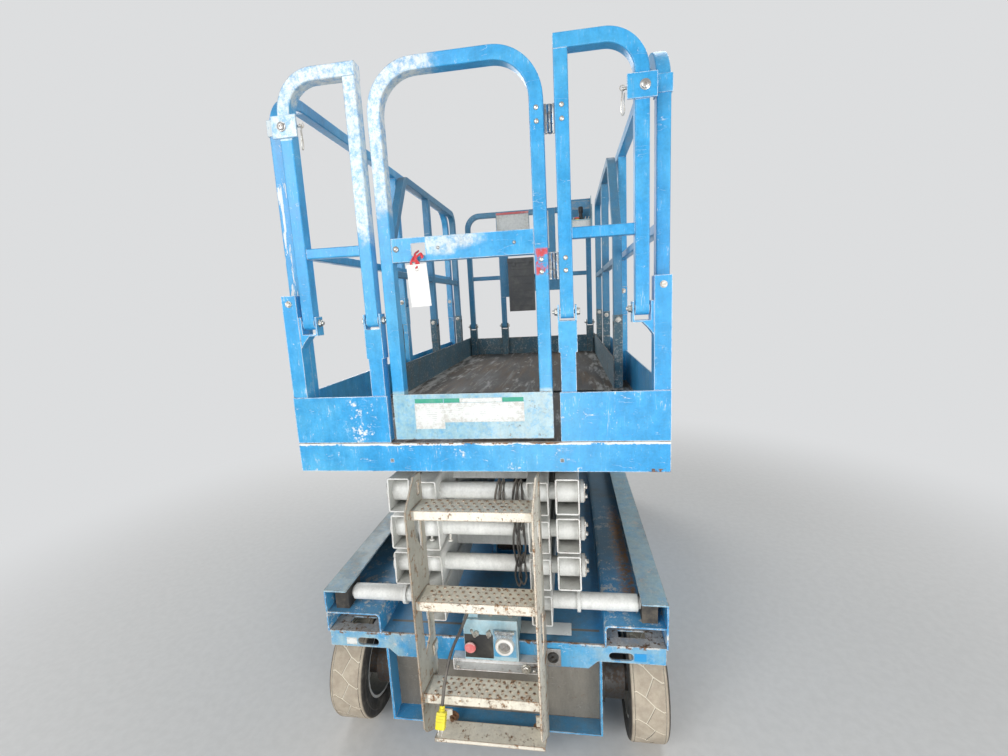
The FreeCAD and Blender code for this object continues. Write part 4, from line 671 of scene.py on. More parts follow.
# Columns: material, row of PAINTS, scraped place, rusty place, patches of other rows
COATS = {
    "rail_blue": ("rail_blue", "rail_blue"),
    "rear_plates": ("rear_plate_blue", "fascia_blue", rear_plate_scrape),
    "fascia": ("fascia_blue", "fascia_blue", fascia_scrape, fascia_corrosion),
    "left_panel": ("left_panel_blue", "rail_blue", None, None, ((left_top_rubbed, "rubbed_white"),)),
    "gate": ("gate_blue", "rail_blue", None, gate_corrosion, (
        (gate_left_rubbed, "rubbed_white"), (kick_worn, "rubbed_pale"), (gate_red_place, "red_mark"))),
    "left_rail": ("left_rail_blue", "rail_blue", left_post_scrape),
    "rubbed_white": ("rubbed_white", "rubbed_white"),
    "control_box": ("control_box_pale", "rubbed_pale"),
    "inner_blue": ("inner_blue", "inner_blue"),
    # The toe boards take the dark row: dirt and painted shade
    "toe_boards": ("toe_board_blue", "toe_blue", toe_scrape),
    "chassis_blue": ("chassis_blue", "chassis_blue"),
    "bumper": ("bumper_blue", "chassis_blue", bumper_scrape, bumper_corrosion, (
        (bumper_worn, "rubbed_pale"), (bumper_shelf, "dusty_shelf"))),
    "tub": ("tub_blue", "chassis_blue", None, None, ((bulkhead_place, "bulkhead"),)),
    # The track floors under the stack take the dark toe-board row: dirt and painted shade
    "rail_track": ("track_blue", "chassis_blue", track_scuffs, None, (
        (flange_worn, "rubbed_pale"), (track_floor_dirt_and_shade, "toe_blue"), (right_track_rust, "loose_rust"))),
    "cabinet_blue": ("cabinet_blue", "cabinet_blue"),
    "arm_white": ("arm_white", "arm_white"),
    # The ladder's side plates take the grey row as painted shade
    "ladder_white": ("ladder_white", "ladder_white", None, tread_corrosion, ((stringers, "stringer_grey"),)),
    "rim_white": ("rim_white", "rim_white"),
    "panel_white": ("panel_white", "panel_white"),
}
# Columns: material, metal, stain, amount of stain, roughness, relief
METALS = {
    "zinc": ("zinc_plate", (0.62, 0.61, 0.57), (0.26, 0.19, 0.12), 0.55, 0.34),
    "steel": ("bare_steel", (0.50, 0.50, 0.49), (0.16, 0.11, 0.07), 0.5, 0.30),
    "chrome": ("cylinder_chrome", (0.75, 0.75, 0.76), (0.30, 0.25, 0.20), 0.2, 0.12),
    "cast": ("cast_iron", (0.13, 0.125, 0.12), (0.12, 0.07, 0.04), 0.8, 0.6, 0.0006),
    "rusty": ("rusty_steel", (0.22, 0.14, 0.09), (0.20, 0.085, 0.035), 1.0, 0.6, 0.0008),
}
# Columns: material, body, dust, amount of dust, roughness
PLASTICS = {
    "black": ("black_plastic", (0.018, 0.018, 0.018), (0.20, 0.18, 0.15), 0.35, 0.42),
    "pad": ("slide_pad", (0.030, 0.028, 0.026), (0.24, 0.20, 0.15), 0.7, 0.5),
    "grey": ("grey_plastic", (0.080, 0.083, 0.085), (0.26, 0.25, 0.23), 0.45, 0.55),
    "cable": ("cable_rubber", (0.045, 0.042, 0.040), (0.30, 0.27, 0.23), 0.6, 0.6),
    "white_plastic": ("white_plastic", (0.78, 0.77, 0.73), (0.35, 0.30, 0.22), 0.4, 0.4),
    "red": ("red_button", (0.55, 0.045, 0.06), (0.62, 0.36, 0.34), 0.8, 0.35),
    "yellow": ("yellow_plug", (0.80, 0.69, 0.02), (0.30, 0.26, 0.12), 0.35, 0.4),
    "tag": ("tag_card", (0.80, 0.80, 0.78), (0.55, 0.53, 0.48), 0.25, 0.5),
    "green": ("green_print", (0.03, 0.33, 0.22), (0.40, 0.48, 0.42), 0.4, 0.45),
    "pink": ("worn_red_print", (0.62, 0.12, 0.12), (0.70, 0.60, 0.56), 0.7, 0.5),
    "patch_blue": ("blue_patch", (0.015, 0.28, 0.62), (0.10, 0.35, 0.60), 0.3, 0.4),
}
# Columns: material, paper, ink, height of a row
LABELS = {
    "paper": ("blank_plate", (0.70, 0.72, 0.70), (0.36, 0.38, 0.38), 0.006),
    "paper_blue": ("blue_plate", (0.10, 0.30, 0.50), (0.50, 0.55, 0.58), 0.008),
}
# Columns: table of finishes, what makes a material of one of its rows
MAKERS = (
    (COATS, painted),
    (METALS, metal),
    (PLASTICS, plastic),
    (LABELS, label_material),
    ({"deck": ()}, deck_material),
    ({"tyre": ()}, tyre_material),
    ({"strap": ()}, cloth_material),
    ({"clear": ()}, clear_material),
)
FINISHES = {}


def finish_of(name):
    """The material of a finish, made when a piece first takes it."""
    if name not in FINISHES:
        table, make = next(maker for maker in MAKERS if name in maker[0])
        FINISHES[name] = make(*table[name])
    return FINISHES[name]


# Columns: finish, nodes that take it
NODE_FINISHES = (
    ("rail_blue", ("gate_frame", "side_rail_right", "platform_pivot")),
    ("rear_plates", ("fixed_posts",)),
    ("fascia", ("platform_frame",)),
    ("left_panel", ("rear_panel_left",)),
    ("gate", ("gate",)),
    ("left_rail", ("side_rail_left",)),
    ("inner_blue", ("extension_rail_left", "extension_rail_right", "front_rail")),
    ("control_box", ("upper_control_box", "ground_control_box")),
    ("toe_boards", ("extension_toe_boards",)),
    ("tub", ("chassis_tub",)),
    ("chassis_blue", ("front_bumper", "front_pivot_brackets", "tray_hinges", "tray_left", "tray_right")),
    ("bumper", ("rear_bumper",)),
    ("rail_track", ("chassis_rails",)),
    ("arm_white", ("front_axle_beam",) + tuple("%s_arms_%d" % (pair, stage) for pair in ("outer", "inner")
                                                for stage in range(1, STAGES + 1))),
    ("panel_white", ("control_channel",)),
    ("ladder_white", ("ladder",)),
    ("rim_white", tuple("rim_" + corner for corner in WHEELS)),
    ("deck", ("platform_deck", "extension_deck")),
    ("cast", ("rear_brake_hubs", "steering_knuckle_left", "steering_knuckle_right", "lift_cylinder_barrel")),
    ("steel", ("tie_rod",)),
    ("chrome", ("lift_cylinder_rod",)),
    ("pad", ("slide_blocks_low", "slide_blocks_high")),
    ("grey", ("manual_box", "battery_pack", "hydraulic_unit")),
    ("black", ("cord_gland",)),
)


# Mesh helpers
def slab(bm, first, second, soft=0.0, turn=None):
    """Box between two corners with soft edges, optionally turned about its middle."""
    a, b = Vector(first), Vector(second)
    verts = bmesh.ops.create_cube(bm, size=1.0)["verts"]
    size = Matrix.Diagonal((*(abs(b[i] - a[i]) for i in range(3)), 1.0))
    place = Matrix.Translation((a + b) / 2) @ (turn.to_4x4() if turn else Matrix.Identity(4)) @ size
    bmesh.ops.transform(bm, matrix=place, verts=verts)
    if soft:
        edges = list(dict.fromkeys(edge for vert in verts for edge in vert.link_edges))
        bmesh.ops.bevel(bm, geom=edges, offset=soft, segments=2, affect="EDGES", profile=0.6)


def drum(bm, start, end, radius, end_radius=None, sides=24, cap=True):
    """Cylinder or cone between two points."""
    a, b = Vector(start), Vector(end)
    way = b - a
    place = Matrix.Translation((a + b) / 2) @ way.to_track_quat("Z", "Y").to_matrix().to_4x4()
    return bmesh.ops.create_cone(bm, cap_ends=cap, segments=sides, radius1=radius,
                                 radius2=radius if end_radius is None else end_radius,
                                 depth=way.length, matrix=place)["verts"]


def bridge(bm, first, second):
    """Closed band of faces between two rings of vertices."""
    for index, vert in enumerate(first):
        following = (index + 1) % len(first)
        bm.faces.new((vert, first[following], second[following], second[index]))


def turned(bm, start, way, profile, sides=28):
    """Solid of revolution: profile is a list of distance along the way and radius."""
    a, way = Vector(start), Vector(way).normalized()
    across = way.orthogonal().normalized()
    other = way.cross(across)
    turns = [2 * math.pi * index / sides for index in range(sides)]
    rings = []
    for along, radius in profile:
        centre = a + way * along
        rings.append([bm.verts.new(centre + (across * math.cos(turn) + other * math.sin(turn)) * radius)
                      for turn in turns])
    for first, second in zip(rings, rings[1:]):
        bridge(bm, first, second)
    bm.faces.new(rings[0][::-1])
    bm.faces.new(rings[-1])


def circle(at, radius, count, axes="XZ"):
    """Points round a place, in the plane of two axes."""
    first, second = ("XYZ".index(axis) for axis in axes)
    points = []
    for index in range(count):
        point = Vector(at)
        point[first] += radius * math.cos(2 * math.pi * index / count)
        point[second] += radius * math.sin(2 * math.pi * index / count)
        points.append(point)
    return points


def flow(points, steps=8, closed=False):
    """Smooth run of points through the given ones."""
    points = [Vector(p) for p in points]
    count = len(points)
    found = []
    spans = count if closed else count - 1
    for index in range(spans):
        near = [points[(index + k) % count] if closed else points[min(max(index + k, 0), count - 1)]
                for k in (-1, 0, 1, 2)]
        for step in range(steps):
            t = step / steps
            a, b, c, d = near
            found.append(0.5 * (2 * b + (c - a) * t + (2 * a - 5 * b + 4 * c - d) * t ** 2
                                + (3 * b - a - 3 * c + d) * t ** 3))
    if not closed:
        found.append(points[-1])
    return found


def hose(bm, points, radius, sides=10, closed=False):
    """Round tube that follows points, its section carried along without twist."""
    points = [Vector(p) for p in points]
    count = len(points)
    rings, side = [], None
    for index, here in enumerate(points):
        after = points[(index + 1) % count] if closed else points[min(index + 1, count - 1)]
        before = points[index - 1] if closed else points[max(index - 1, 0)]
        way = (after - before).normalized()
        side = way.orthogonal() if side is None else side - way * side.dot(way)
        side.normalize()
        other = way.cross(side)
        rings.append([bm.verts.new(here + (side * math.cos(2 * math.pi * k / sides)
                                           + other * math.sin(2 * math.pi * k / sides)) * radius)
                      for k in range(sides)])
    for index in range(count if closed else count - 1):
        bridge(bm, rings[index], rings[(index + 1) % count])
    if not closed:
        bm.faces.new(rings[0][::-1])
        bm.faces.new(rings[-1])


WASHER = 0.002
HEAD_SHARE = 0.42
CHAMFER_SHARE = 0.85


def hex_bolt(bm, at, way, across=0.018, stud=0.0):
    """Washer and chamfered hex head, with a stud end beyond it where it is a nut."""
    at, way = Vector(at), Vector(way).normalized()
    corner = across / 2 / math.cos(math.pi / 6)
    tall = HEAD_SHARE * across
    chamfer, top = at + way * (WASHER + tall * CHAMFER_SHARE), at + way * (WASHER + tall)
    drum(bm, at, at + way * WASHER, across * 0.66, sides=20)
    drum(bm, at + way * WASHER, chamfer, corner, sides=6)
    drum(bm, chamfer, top, corner * 0.98, corner * 0.82, sides=6)
    if stud:
        drum(bm, top, top + way * stud, across * 0.30, sides=12)


def button_bolt(bm, at, way, radius=0.007):
    """Low domed head of a carriage bolt or rivet."""
    profile = [(0.0, radius), (0.0012, radius * 0.97), (0.0026, radius * 0.8), (0.0036, radius * 0.45),
               (0.0040, radius * 0.1)]
    turned(bm, at, way, profile, sides=16)


def put_in_scene(name, data):
    """New object of this data, linked to the scene."""
    made = bpy.data.objects.new(name, data)
    bpy.context.scene.collection.objects.link(made)
    return made


def piece(name, bm, finish, body, sharp=38, replaces=None):
    """Turns a mesh under construction into a piece that rides on its body."""
    bmesh.ops.recalc_face_normals(bm, faces=bm.faces)
    mesh = bpy.data.meshes.new(name)
    bm.to_mesh(mesh)
    bm.free()
    mesh.shade_smooth()
    mesh.set_sharp_from_angle(angle=math.radians(sharp))
    mesh.materials.append(finish_of(finish))
    made = put_in_scene(name, mesh)
    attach(made, body)
    if replaces:
        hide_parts(replaces)
    return made


def assemble(name, finish, body, slot, *shapes, replaces=None):
    """Piece made of shapes, each a mesh helper and what it takes."""
    bm = bmesh.new()
    for helper, *values in shapes:
        helper(bm, *values)
    return piece(name, bm, finish, body, replaces=replaces)


def dress_nodes():
    """Gives the construction's own pieces their finishes."""
    for finish, nodes in NODE_FINISHES:
        for node in nodes:
            mesh = frame["nodes"][node].data
            mesh.materials.clear()
            mesh.materials.append(finish_of(finish))


def size_property(name, description, default):
    return bpy.props.FloatProperty(name=name, description=description, default=default, min=0.0,
                                   unit="LENGTH")


class LiftSizeSettings(bpy.types.PropertyGroup):
    """Sizes of the added pieces."""
    tread_depth: size_property("Tread depth", "Depth of the grooves between the tyres' blocks", 0.0020)
    dimple_height: size_property("Dimple height", "How far the ladder's dimples stand up", 0.0030)
    cable_radius: size_property("Cable radius", "Half the thickness of the cables on the stack", 0.0034)
    tag_width: size_property("Tag width", "Width of the blank tag", 0.060)
    tag_height: size_property("Tag height", "Height of the blank tag", 0.120)


# Tyres
TREAD_PITCHES = 15
GROOVE_HALF = 0.0017
BLOCK_CHAMFER = 0.0006
SHOULDER = 0.014
BEAD = 0.006
RIM_EDGE_RADIUS = 0.140
TYRE_CUTS = 72
SPARE_CUTS = 8
# Half of one groove from the middle outwards, as shares of the flat tread's half width and of the pitch
GROOVE = ((0.28, 0.158), (0.83, 0.340), (1.00, 0.310))


def tread_cells(length, half):
    """Flat outlines of the blocks between grooves that cross in a double bend, as (along, across)."""
    pitch = length / TREAD_PITCHES
    right = [(-v * pitch, u * half) for u, v in GROOVE]
    left = [(-along, -across) for along, across in right]
    cells = []
    for k in range(TREAD_PITCHES):
        here, following = -k * pitch, -(k + 1) * pitch
        cells.append([(a + here, b) for a, b in left[::-1]] + [(right[0][0] + here, right[0][1])]
                     + [(a + following, b) for a, b in left])
        cells.append([(a + here, b) for a, b in right] + [(a + following, b) for a, b in right[::-1]]
                     + [(left[0][0] + following, left[0][1])])
    return cells


def build_tyre(corner):
    """Tyre with zigzag tread blocks wrapped round its axle, closed by turned shoulders and side walls."""
    node = "tyre_" + corner
    depth = bpy.context.scene.lift_sizes.tread_depth
    lo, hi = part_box(node)
    centre = (lo + hi) / 2
    radius = (hi.z - lo.z) / 2
    half = (hi.x - lo.x) / 2
    flat = half - SHOULDER
    length = 2 * math.pi * radius
    bm = bmesh.new()
    for outline in tread_cells(length, flat):
        face = bm.faces.new([bm.verts.new((u, v, -depth)) for u, v in outline])
        face.normal_update()
        for inset, lift in ((GROOVE_HALF, 0.0), (BLOCK_CHAMFER, depth)):
            bmesh.ops.inset_individual(bm, faces=[face], thickness=inset, depth=0.0, use_even_offset=True)
            for vert in face.verts:
                vert.co.z += lift
    bmesh.ops.remove_doubles(bm, verts=bm.verts, dist=1e-6)
    for index in range(-TYRE_CUTS - SPARE_CUTS, SPARE_CUTS):
        bmesh.ops.bisect_plane(bm, geom=bm.verts[:] + bm.edges[:] + bm.faces[:], dist=1e-7,
                               plane_co=(length * index / TYRE_CUTS, 0, 0), plane_no=(1, 0, 0))
    for vert in bm.verts:
        turn = vert.co.x / radius
        reach = radius + vert.co.z
        vert.co = centre + Vector((vert.co.y, reach * math.sin(turn), reach * math.cos(turn)))
    bmesh.ops.remove_doubles(bm, verts=bm.verts, dist=2e-5)
    rim = RIM_EDGE_RADIUS
    arc = [(flat + SHOULDER * math.sin(a), radius - SHOULDER + SHOULDER * math.cos(a))
           for a in (math.radians(15 * k) for k in range(7))]
    wall = [(flat - 0.002, radius - depth)] + arc + [
        (half - 0.0015, radius - 0.026), (half, radius - 0.028), (half, rim + BEAD + 0.012),
        (half - 0.001, rim + BEAD + 0.010), (half - 0.002, rim + BEAD), (half - BEAD, rim), (0.0, rim)]
    turns = [2 * math.pi * k / TYRE_CUTS for k in range(TYRE_CUTS)]
    for side in (-1, 1):
        rings = [[bm.verts.new(centre + Vector((side * across, reach * math.sin(t), reach * math.cos(t))))
                  for t in turns] for across, reach in wall]
        for first, second in zip(rings, rings[1:]):
            bridge(bm, first, second)
    piece("tread_" + corner, bm, "tyre", "wheel_" + corner, sharp=30, replaces=node)


HUB_RECESS = 0.012
STUD_DROP = 0.024
STUD_CIRCLE = 0.066
# Washer and nut on the spindle. Columns: start, end, radius, sides
SPINDLE_END = ((-0.002, 0.001, 0.034, 28), (0.001, 0.009, 0.024, 6))


def build_wheel_nuts(corner):
    """Castle nut and washer on each spindle, and studs round each hub."""
    lo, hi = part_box("rim_" + corner)
    side = 1 if hi.x > 0 else -1
    hub = (lo + hi) / 2
    hub.x = (max(abs(lo.x), abs(hi.x)) - HUB_RECESS) * side
    way = Vector((side, 0, 0))
    bm = bmesh.new()
    for at in circle(hub - way * STUD_DROP, STUD_CIRCLE, 5, "YZ"):
        hex_bolt(bm, at, way, 0.019, stud=0.006)
    for start, end, radius, sides in SPINDLE_END:
        drum(bm, hub + way * start, hub + way * end, radius, sides=sides)
    piece("hub_nuts_" + corner, bm, "zinc", "wheel_" + corner)


# Fastenings of the folding rails
# Columns: body, joint that gives the height, bolt axis, places along the rail, side of the head
CLEVISES = (
    ("platform", "rear_panel_fold", "X", (-0.497, -0.291), -1),
    ("platform", "gate_frame_fold", "X", (0.291, 0.497), 1),
    ("platform", "side_rail_left_fold", "Y", (-1.052, -0.110, 0.861), 1),
    ("platform", "side_rail_right_fold", "Y", (-1.052, -0.110, 0.861), 1),
    ("extension", "extension_rail_left_fold", "Y", (-0.360, 0.250, 0.861), 1),
    ("extension", "extension_rail_right_fold", "Y", (-0.360, 0.250, 0.861), 1),
    ("extension", "front_rail_fold", "X", (-0.455, -0.203, 0.455), 1),
)


CLEVIS_HEAD = 0.018
CLEVIS_STUD = 0.005


def build_clevis_bolts():
    """Bolt and nut through each folding post's foot."""
    for body, joint, axis, places, head in CLEVISES:
        bm = bmesh.new()
        for along in places:
            at = PIVOT[joint].copy()
            way = Vector((1, 0, 0)) if axis == "X" else Vector((0, 1, 0))
            if axis == "X":
                at.x = along
            else:
                at.y = MID_Y + along
            hex_bolt(bm, at + way * head * CHEEK_OUT, way * head, CLEVIS_HEAD)
            hex_bolt(bm, at - way * head * CHEEK_OUT, -way * head, CLEVIS_HEAD, stud=CLEVIS_STUD)
        piece("pivot_bolts_" + joint.replace("_fold", ""), bm, "zinc", body)


# Latches between the rear panels and the side rails
STRAP_HEIGHT = 0.940
BAND_HEIGHT = 0.960
BAND_TALL = 0.046
LATCH_BOLT_X = 0.503
LATCH_BOLT_Y = -1.125
SIDE_POST_Y = -1.052
SHEET = 0.003

# Turned head: distance along the axis, radius
LATCH_BOLT_HEAD = ((0.0, 0.0135), (0.002, 0.0135), (0.0026, 0.0105), (0.0055, 0.0098), (0.0068, 0.0070),
                   (0.0068, 0.0030), (0.0052, 0.0026), (0.0052, 0.0004))
# Hairpin from its eye: outwards, along Y, up
HAIRPIN = ((0.000, 0.000, 0.004), (-0.003, -0.006, -0.022), (-0.005, -0.008, -0.050),
           (-0.001, -0.006, -0.062), (0.004, -0.003, -0.052), (0.003, 0.000, -0.026), (0.005, 0.002, -0.006))
HAIRPIN_RADIUS = 0.0016
EYE_CIRCLE = 0.007
EYE_WIRE = 0.0011
HAIRPIN_X = 0.448
STRAP_EDGE_X = 0.462
PLAY = 0.0002


def build_latches():
    """Bands round the side rails' rear posts, bolts on the panels' straps, and hanging hairpins."""
    half = POST_TUBE / 2
    outer, inner = half + SHEET, half + PLAY
    for name, side in SIDE_OF.items():
        rail_x = PIVOT["side_rail_%s_fold" % name].x
        post = Vector((rail_x, MID_Y + SIDE_POST_Y, DECK_TOP + BAND_HEIGHT))
        bm = bmesh.new()
        for x0, x1, y0, y1 in ((-outer, outer, -outer, -inner), (-outer, outer, inner, outer),
                               (-outer, -inner, -half, half), (inner, outer, -half, half)):
            slab(bm, post + Vector((x0, y0, -BAND_TALL / 2)), post + Vector((x1, y1, BAND_TALL / 2)), 0.0008)
        hex_bolt(bm, post + Vector((0, outer, 0)), (0, 1, 0), 0.014)
        finish = "rubbed_white" if side < 0 else "rail_blue"
        piece("latch_band_" + name, bm, finish, "side_rail_" + name)
        body = "rear_panel_left" if side < 0 else "gate_frame"
        bolt = Vector((side * LATCH_BOLT_X, MID_Y + LATCH_BOLT_Y, DECK_TOP + STRAP_HEIGHT))
        assemble("latch_bolt_" + name, "steel", body, "steel", (turned, bolt, OUTWARD, LATCH_BOLT_HEAD))
        eye = Vector((side * HAIRPIN_X, bolt.y + 0.010, bolt.z - 0.004))
        pin = [eye + Vector((side * x, y, z)) for x, y, z in HAIRPIN]
        bm = bmesh.new()
        hose(bm, flow(pin, 6), HAIRPIN_RADIUS, 8)
        hose(bm, circle(eye + Vector((0, 0.002, 0.006)), EYE_CIRCLE, 12), EYE_WIRE, 8, closed=True)
        drum(bm, (side * STRAP_EDGE_X, eye.y, eye.z + 0.004), (eye.x - side * 0.002, eye.y, eye.z + 0.004),
             0.0035, sides=16)
        piece("hairpin_" + name, bm, "zinc", body)


# Corner bolts: to each side, from the middle of the wheel base, over the deck
CORNER_BOLT = (0.552, -1.122, 0.440)


def build_corner_bolts():
    """Bolt heads with washers on the rear faces of the folded corner posts."""
    x, y, z = CORNER_BOLT
    heads = [(hex_bolt, (side * x, MID_Y + y, DECK_TOP + z), OUTWARD, 0.015) for side in (-1, 1)]
    assemble("corner_bolts", "zinc", "platform", "steel", *heads)


# Gate
HINGE_TALL = 0.036
GATE_HINGES = (0.509, 0.900)
GATE_POST_X = 0.224
FRAME_POST_X = 0.291


HINGE_RADIUS = 0.0070
# Shares of a hinge's half height that the knuckles of each side take
KNUCKLES = {"gate": ((-1.0, -0.35), (0.35, 1.0)), "gate_frame": ((-0.32, 0.32),)}
# Hinge leaf: from the pin's axis, short of the post's middle, behind the axis, before it, over the knuckles
LEAF_START, LEAF_END, LEAF_BACK, LEAF_FRONT, LEAF_SPARE = 0.0075, 0.0192, 0.0042, 0.0004, 0.002
LEAF_EDGE = 0.0006
HINGE_BOLT_RISE = 0.017
# Heads round the gate's latch. Columns: x, over the deck, radius
LATCH_HEADS = ((-0.196, 0.580, 0.009), (-0.070, 0.577, 0.005), (0.150, 0.577, 0.005))


def build_gate_fittings():
    """Plated hinge knuckles, bolt heads on the posts beside them, and the latch bolt."""
    joint = PIVOT["gate_swing"]
    for body, post_x, side in (("gate", GATE_POST_X, -1), ("gate_frame", FRAME_POST_X, 1)):
        bm = bmesh.new()
        for height in GATE_HINGES:
            at = Vector((joint.x, joint.y, DECK_TOP + height))
            for first, last in KNUCKLES[body]:
                drum(bm, at + Vector((0, 0, first * HINGE_TALL)), at + Vector((0, 0, last * HINGE_TALL)),
                     HINGE_RADIUS, sides=20)
            tall = HINGE_TALL + LEAF_SPARE
            slab(bm, (at.x + side * LEAF_START, at.y - LEAF_BACK, at.z - tall),
                 (post_x - side * LEAF_END, at.y + LEAF_FRONT, at.z + tall), LEAF_EDGE)
            for rise in (-HINGE_BOLT_RISE, HINGE_BOLT_RISE):
                button_bolt(bm, (post_x, GATE_FACE_Y, at.z + rise), OUTWARD)
        piece("hinge_fittings_" + body, bm, "zinc", body)
    heads = [(button_bolt, (x, GATE_FACE_Y, DECK_TOP + height), OUTWARD, radius)
             for x, height, radius in LATCH_HEADS]
    assemble("gate_latch_parts", "steel", "gate", "steel", *heads)


# Places of the tag: x, behind the gate's face, over the deck
TAG_HOLE = (-0.130, -0.002, 0.560)
TAG_TOP = (-0.133, -0.014, 0.527)
TAG_LEAN = (math.radians(3.0), math.radians(-2.0))
TAG_CUP, TAG_BEND = 0.004, 0.003
TAG_HEM = 0.006
TAG_CELLS = 8
CARD = 0.0012
EYELET = (0.0, -0.0016, -0.008)
EYELET_CIRCLE = 0.0045
TAG_STRAP_RADIUS = 0.0026
TAG_STRAP_SPREAD = 0.0015
# Runs of the red strap, each from the latch hole or from a place on the tag: place, x, y, z
TAG_STRAP_RUNS = (
    (("hole", -0.004, 0.016, 0.012), ("hole", -0.008, -0.001, 0.004), ("hole", -0.006, -0.008, -0.006),
     ("top", 0.000, 0.004, 0.006), ("eyelet", 0.000, -0.001, 0.004)),
    (("hole", -0.012, -0.003, -0.004), ("hole", -0.020, -0.008, -0.022), ("hole", -0.015, -0.010, -0.040)),
    (("hole", -0.002, -0.009, -0.006), ("hole", 0.010, -0.008, 0.002), ("hole", 0.015, -0.006, -0.010)),
    (("hole", -0.013, -0.008, -0.016), ("hole", -0.002, -0.013, -0.018), ("hole", 0.004, -0.010, -0.028)),
)


def build_tag():
    """Blank card on a red strap that is knotted through the latch hole."""
    sizes = bpy.context.scene.lift_sizes
    gate = Vector((0, GATE_FACE_Y, DECK_TOP))
    hole, top = gate + Vector(TAG_HOLE), gate + Vector(TAG_TOP)
    lean = Matrix.Rotation(TAG_LEAN[1], 3, "Y") @ Matrix.Rotation(TAG_LEAN[0], 3, "X")
    bm = bmesh.new()
    grid = []
    for row in range(TAG_CELLS + 1):
        line = []
        for column in range(TAG_CELLS + 1):
            u, v = column / TAG_CELLS - 0.5, row / TAG_CELLS
            curl = TAG_CUP * (2 * u) ** 2 * v - TAG_BEND * v * v
            place = Vector((u * sizes.tag_width, curl, TAG_HEM - v * sizes.tag_height))
            line.append(bm.verts.new(top + lean @ place))
        grid.append(line)
    faces = []
    for above, below in zip(grid, grid[1:]):
        for column in range(TAG_CELLS):
            faces.append(bm.faces.new((above[column], below[column], below[column + 1], above[column + 1])))
    solid = bmesh.ops.extrude_face_region(bm, geom=faces)["geom"]
    moved = [vert for vert in solid if isinstance(vert, bmesh.types.BMVert)]
    bmesh.ops.translate(bm, verts=moved, vec=(0, -CARD, 0))
    piece("blank_tag", bm, "tag", "gate")
    eyelet = top + lean @ Vector(EYELET)
    assemble("tag_eyelet", "zinc", "gate", "steel", (hose, circle(eyelet, EYELET_CIRCLE, 12), CARD, 8, True))
    places = {"hole": hole, "top": top, "eyelet": eyelet}
    bm = bmesh.new()
    for run in TAG_STRAP_RUNS:
        path = flow([places[place] + Vector(offset) for place, *offset in run], 6)
        for shift in (-TAG_STRAP_SPREAD, TAG_STRAP_SPREAD):
            hose(bm, [p + Vector((shift, 0, shift)) for p in path], TAG_STRAP_RADIUS, 8)
    piece("tag_strap", bm, "strap", "gate")


PLATE = 0.0008
PLATE_GAP = 0.0001
# Plate on the bumper's shelf: left and right, rear and front from the middle of the wheel base
SHELF_PLATE = ((0.101, 0.276), (-1.050, -0.990))


def build_plates():
    """Blank plates and strips on the gate, bumper and front rail, and one on the bumper's shelf."""
    deck = DECK_TOP
    kick = KICK_FACE_Y
    bumper = CHASSIS_FACE_Y
    front = low("front_rail").y
    # Columns: name, body, finish, left, right, bottom, top, face
    plates = (
        ("kick_plate_left", "gate", "paper", -0.178, -0.086, deck + 0.042, deck + 0.122, kick),
        ("kick_plate_right", "gate", "paper", -0.086, 0.158, deck + 0.062, deck + 0.122, kick),
        ("kick_header_left", "gate", "green", -0.176, -0.088, deck + 0.123, deck + 0.136, kick),
        ("kick_header_middle", "gate", "green", -0.085, -0.036, deck + 0.123, deck + 0.136, kick),
        ("kick_header_blank", "gate", "paper", -0.036, 0.093, deck + 0.123, deck + 0.136, kick),
        ("kick_header_right", "gate", "green", 0.094, 0.157, deck + 0.123, deck + 0.136, kick),
        ("bumper_sticker_left", "chassis", "paper", -0.516, -0.478, 0.383, 0.409, bumper),
        ("bumper_patch_right", "chassis", "patch_blue", 0.476, 0.514, 0.384, 0.412, bumper),
        ("front_plate", "front_rail", "paper", -0.226, 0.018, deck + 0.935, deck + 1.062, front),
        ("front_plate_header", "front_rail", "pink", -0.226, 0.018, deck + 1.064, deck + 1.080, front),
        ("front_strip", "front_rail", "paper", 0.140, 0.166, deck + 0.800, deck + 1.070, front),
        ("control_back_plate", "front_rail", "paper_blue", 0.340, 0.468, deck + 1.060, deck + 1.120, front),
    )
    for name, body, finish, x0, x1, z0, z1, face in plates:
        ends = (x0, face - PLATE, z0), (x1, face - PLATE_GAP, z1)
        slot = "white_paint" if finish == "paper" else "blue_paint"
        assemble(name, finish, body, slot, (slab, *ends, PLATE_GAP))
    top = high("rear_bumper").z + PLATE_GAP
    (left, right), (rear, ahead) = SHELF_PLATE
    assemble("shelf_plate", "paper", "chassis", "white_paint",
             (slab, (left, MID_Y + rear, top), (right, MID_Y + ahead, top + PLATE), PLATE_GAP))


# Lower controls
STOP_PLACE = (-0.056, 0.434)
SOCKET_PLACE = (0.060, 0.450)
CHANNEL_BOLT_PLACE = (0.126, 0.362)
SWITCH_PLACE = (0.214, 0.384)
# Outlines on the panel, each as lower left and upper right
RECESS = ((-0.075, 0.392), (0.020, 0.478))
SOCKET_PLATE = ((0.022, 0.402), (0.098, 0.500))
FLAP = ((0.034, 0.478), (0.090, 0.526))
FLAP_LEAN = 0.5
FLAP_ROD = ((0.028, 0.496), (0.094, 0.496))
FLAP_ROD_OUT, FLAP_ROD_RADIUS = 0.0095, 0.0042
FLAP_EARS_X = (0.036, 0.086)
CONTACT_TURNS = (0, 2.1, 4.2)
CONTACT_CIRCLE = 0.009
# Levers: sideways and how far the tip leans; then the shanks' height and thickness
LEVERS = ((-0.034, -0.008), (0.008, 0.006))
LEVER_HEIGHT = 0.484
LEVER_RADIUS = 0.0034
BOX_BOLTS_X = (0.012, 0.078)
CHANNEL_RIVETS = ((-0.105, 0.352), (0.152, 0.352))
SEAT = 0.0002
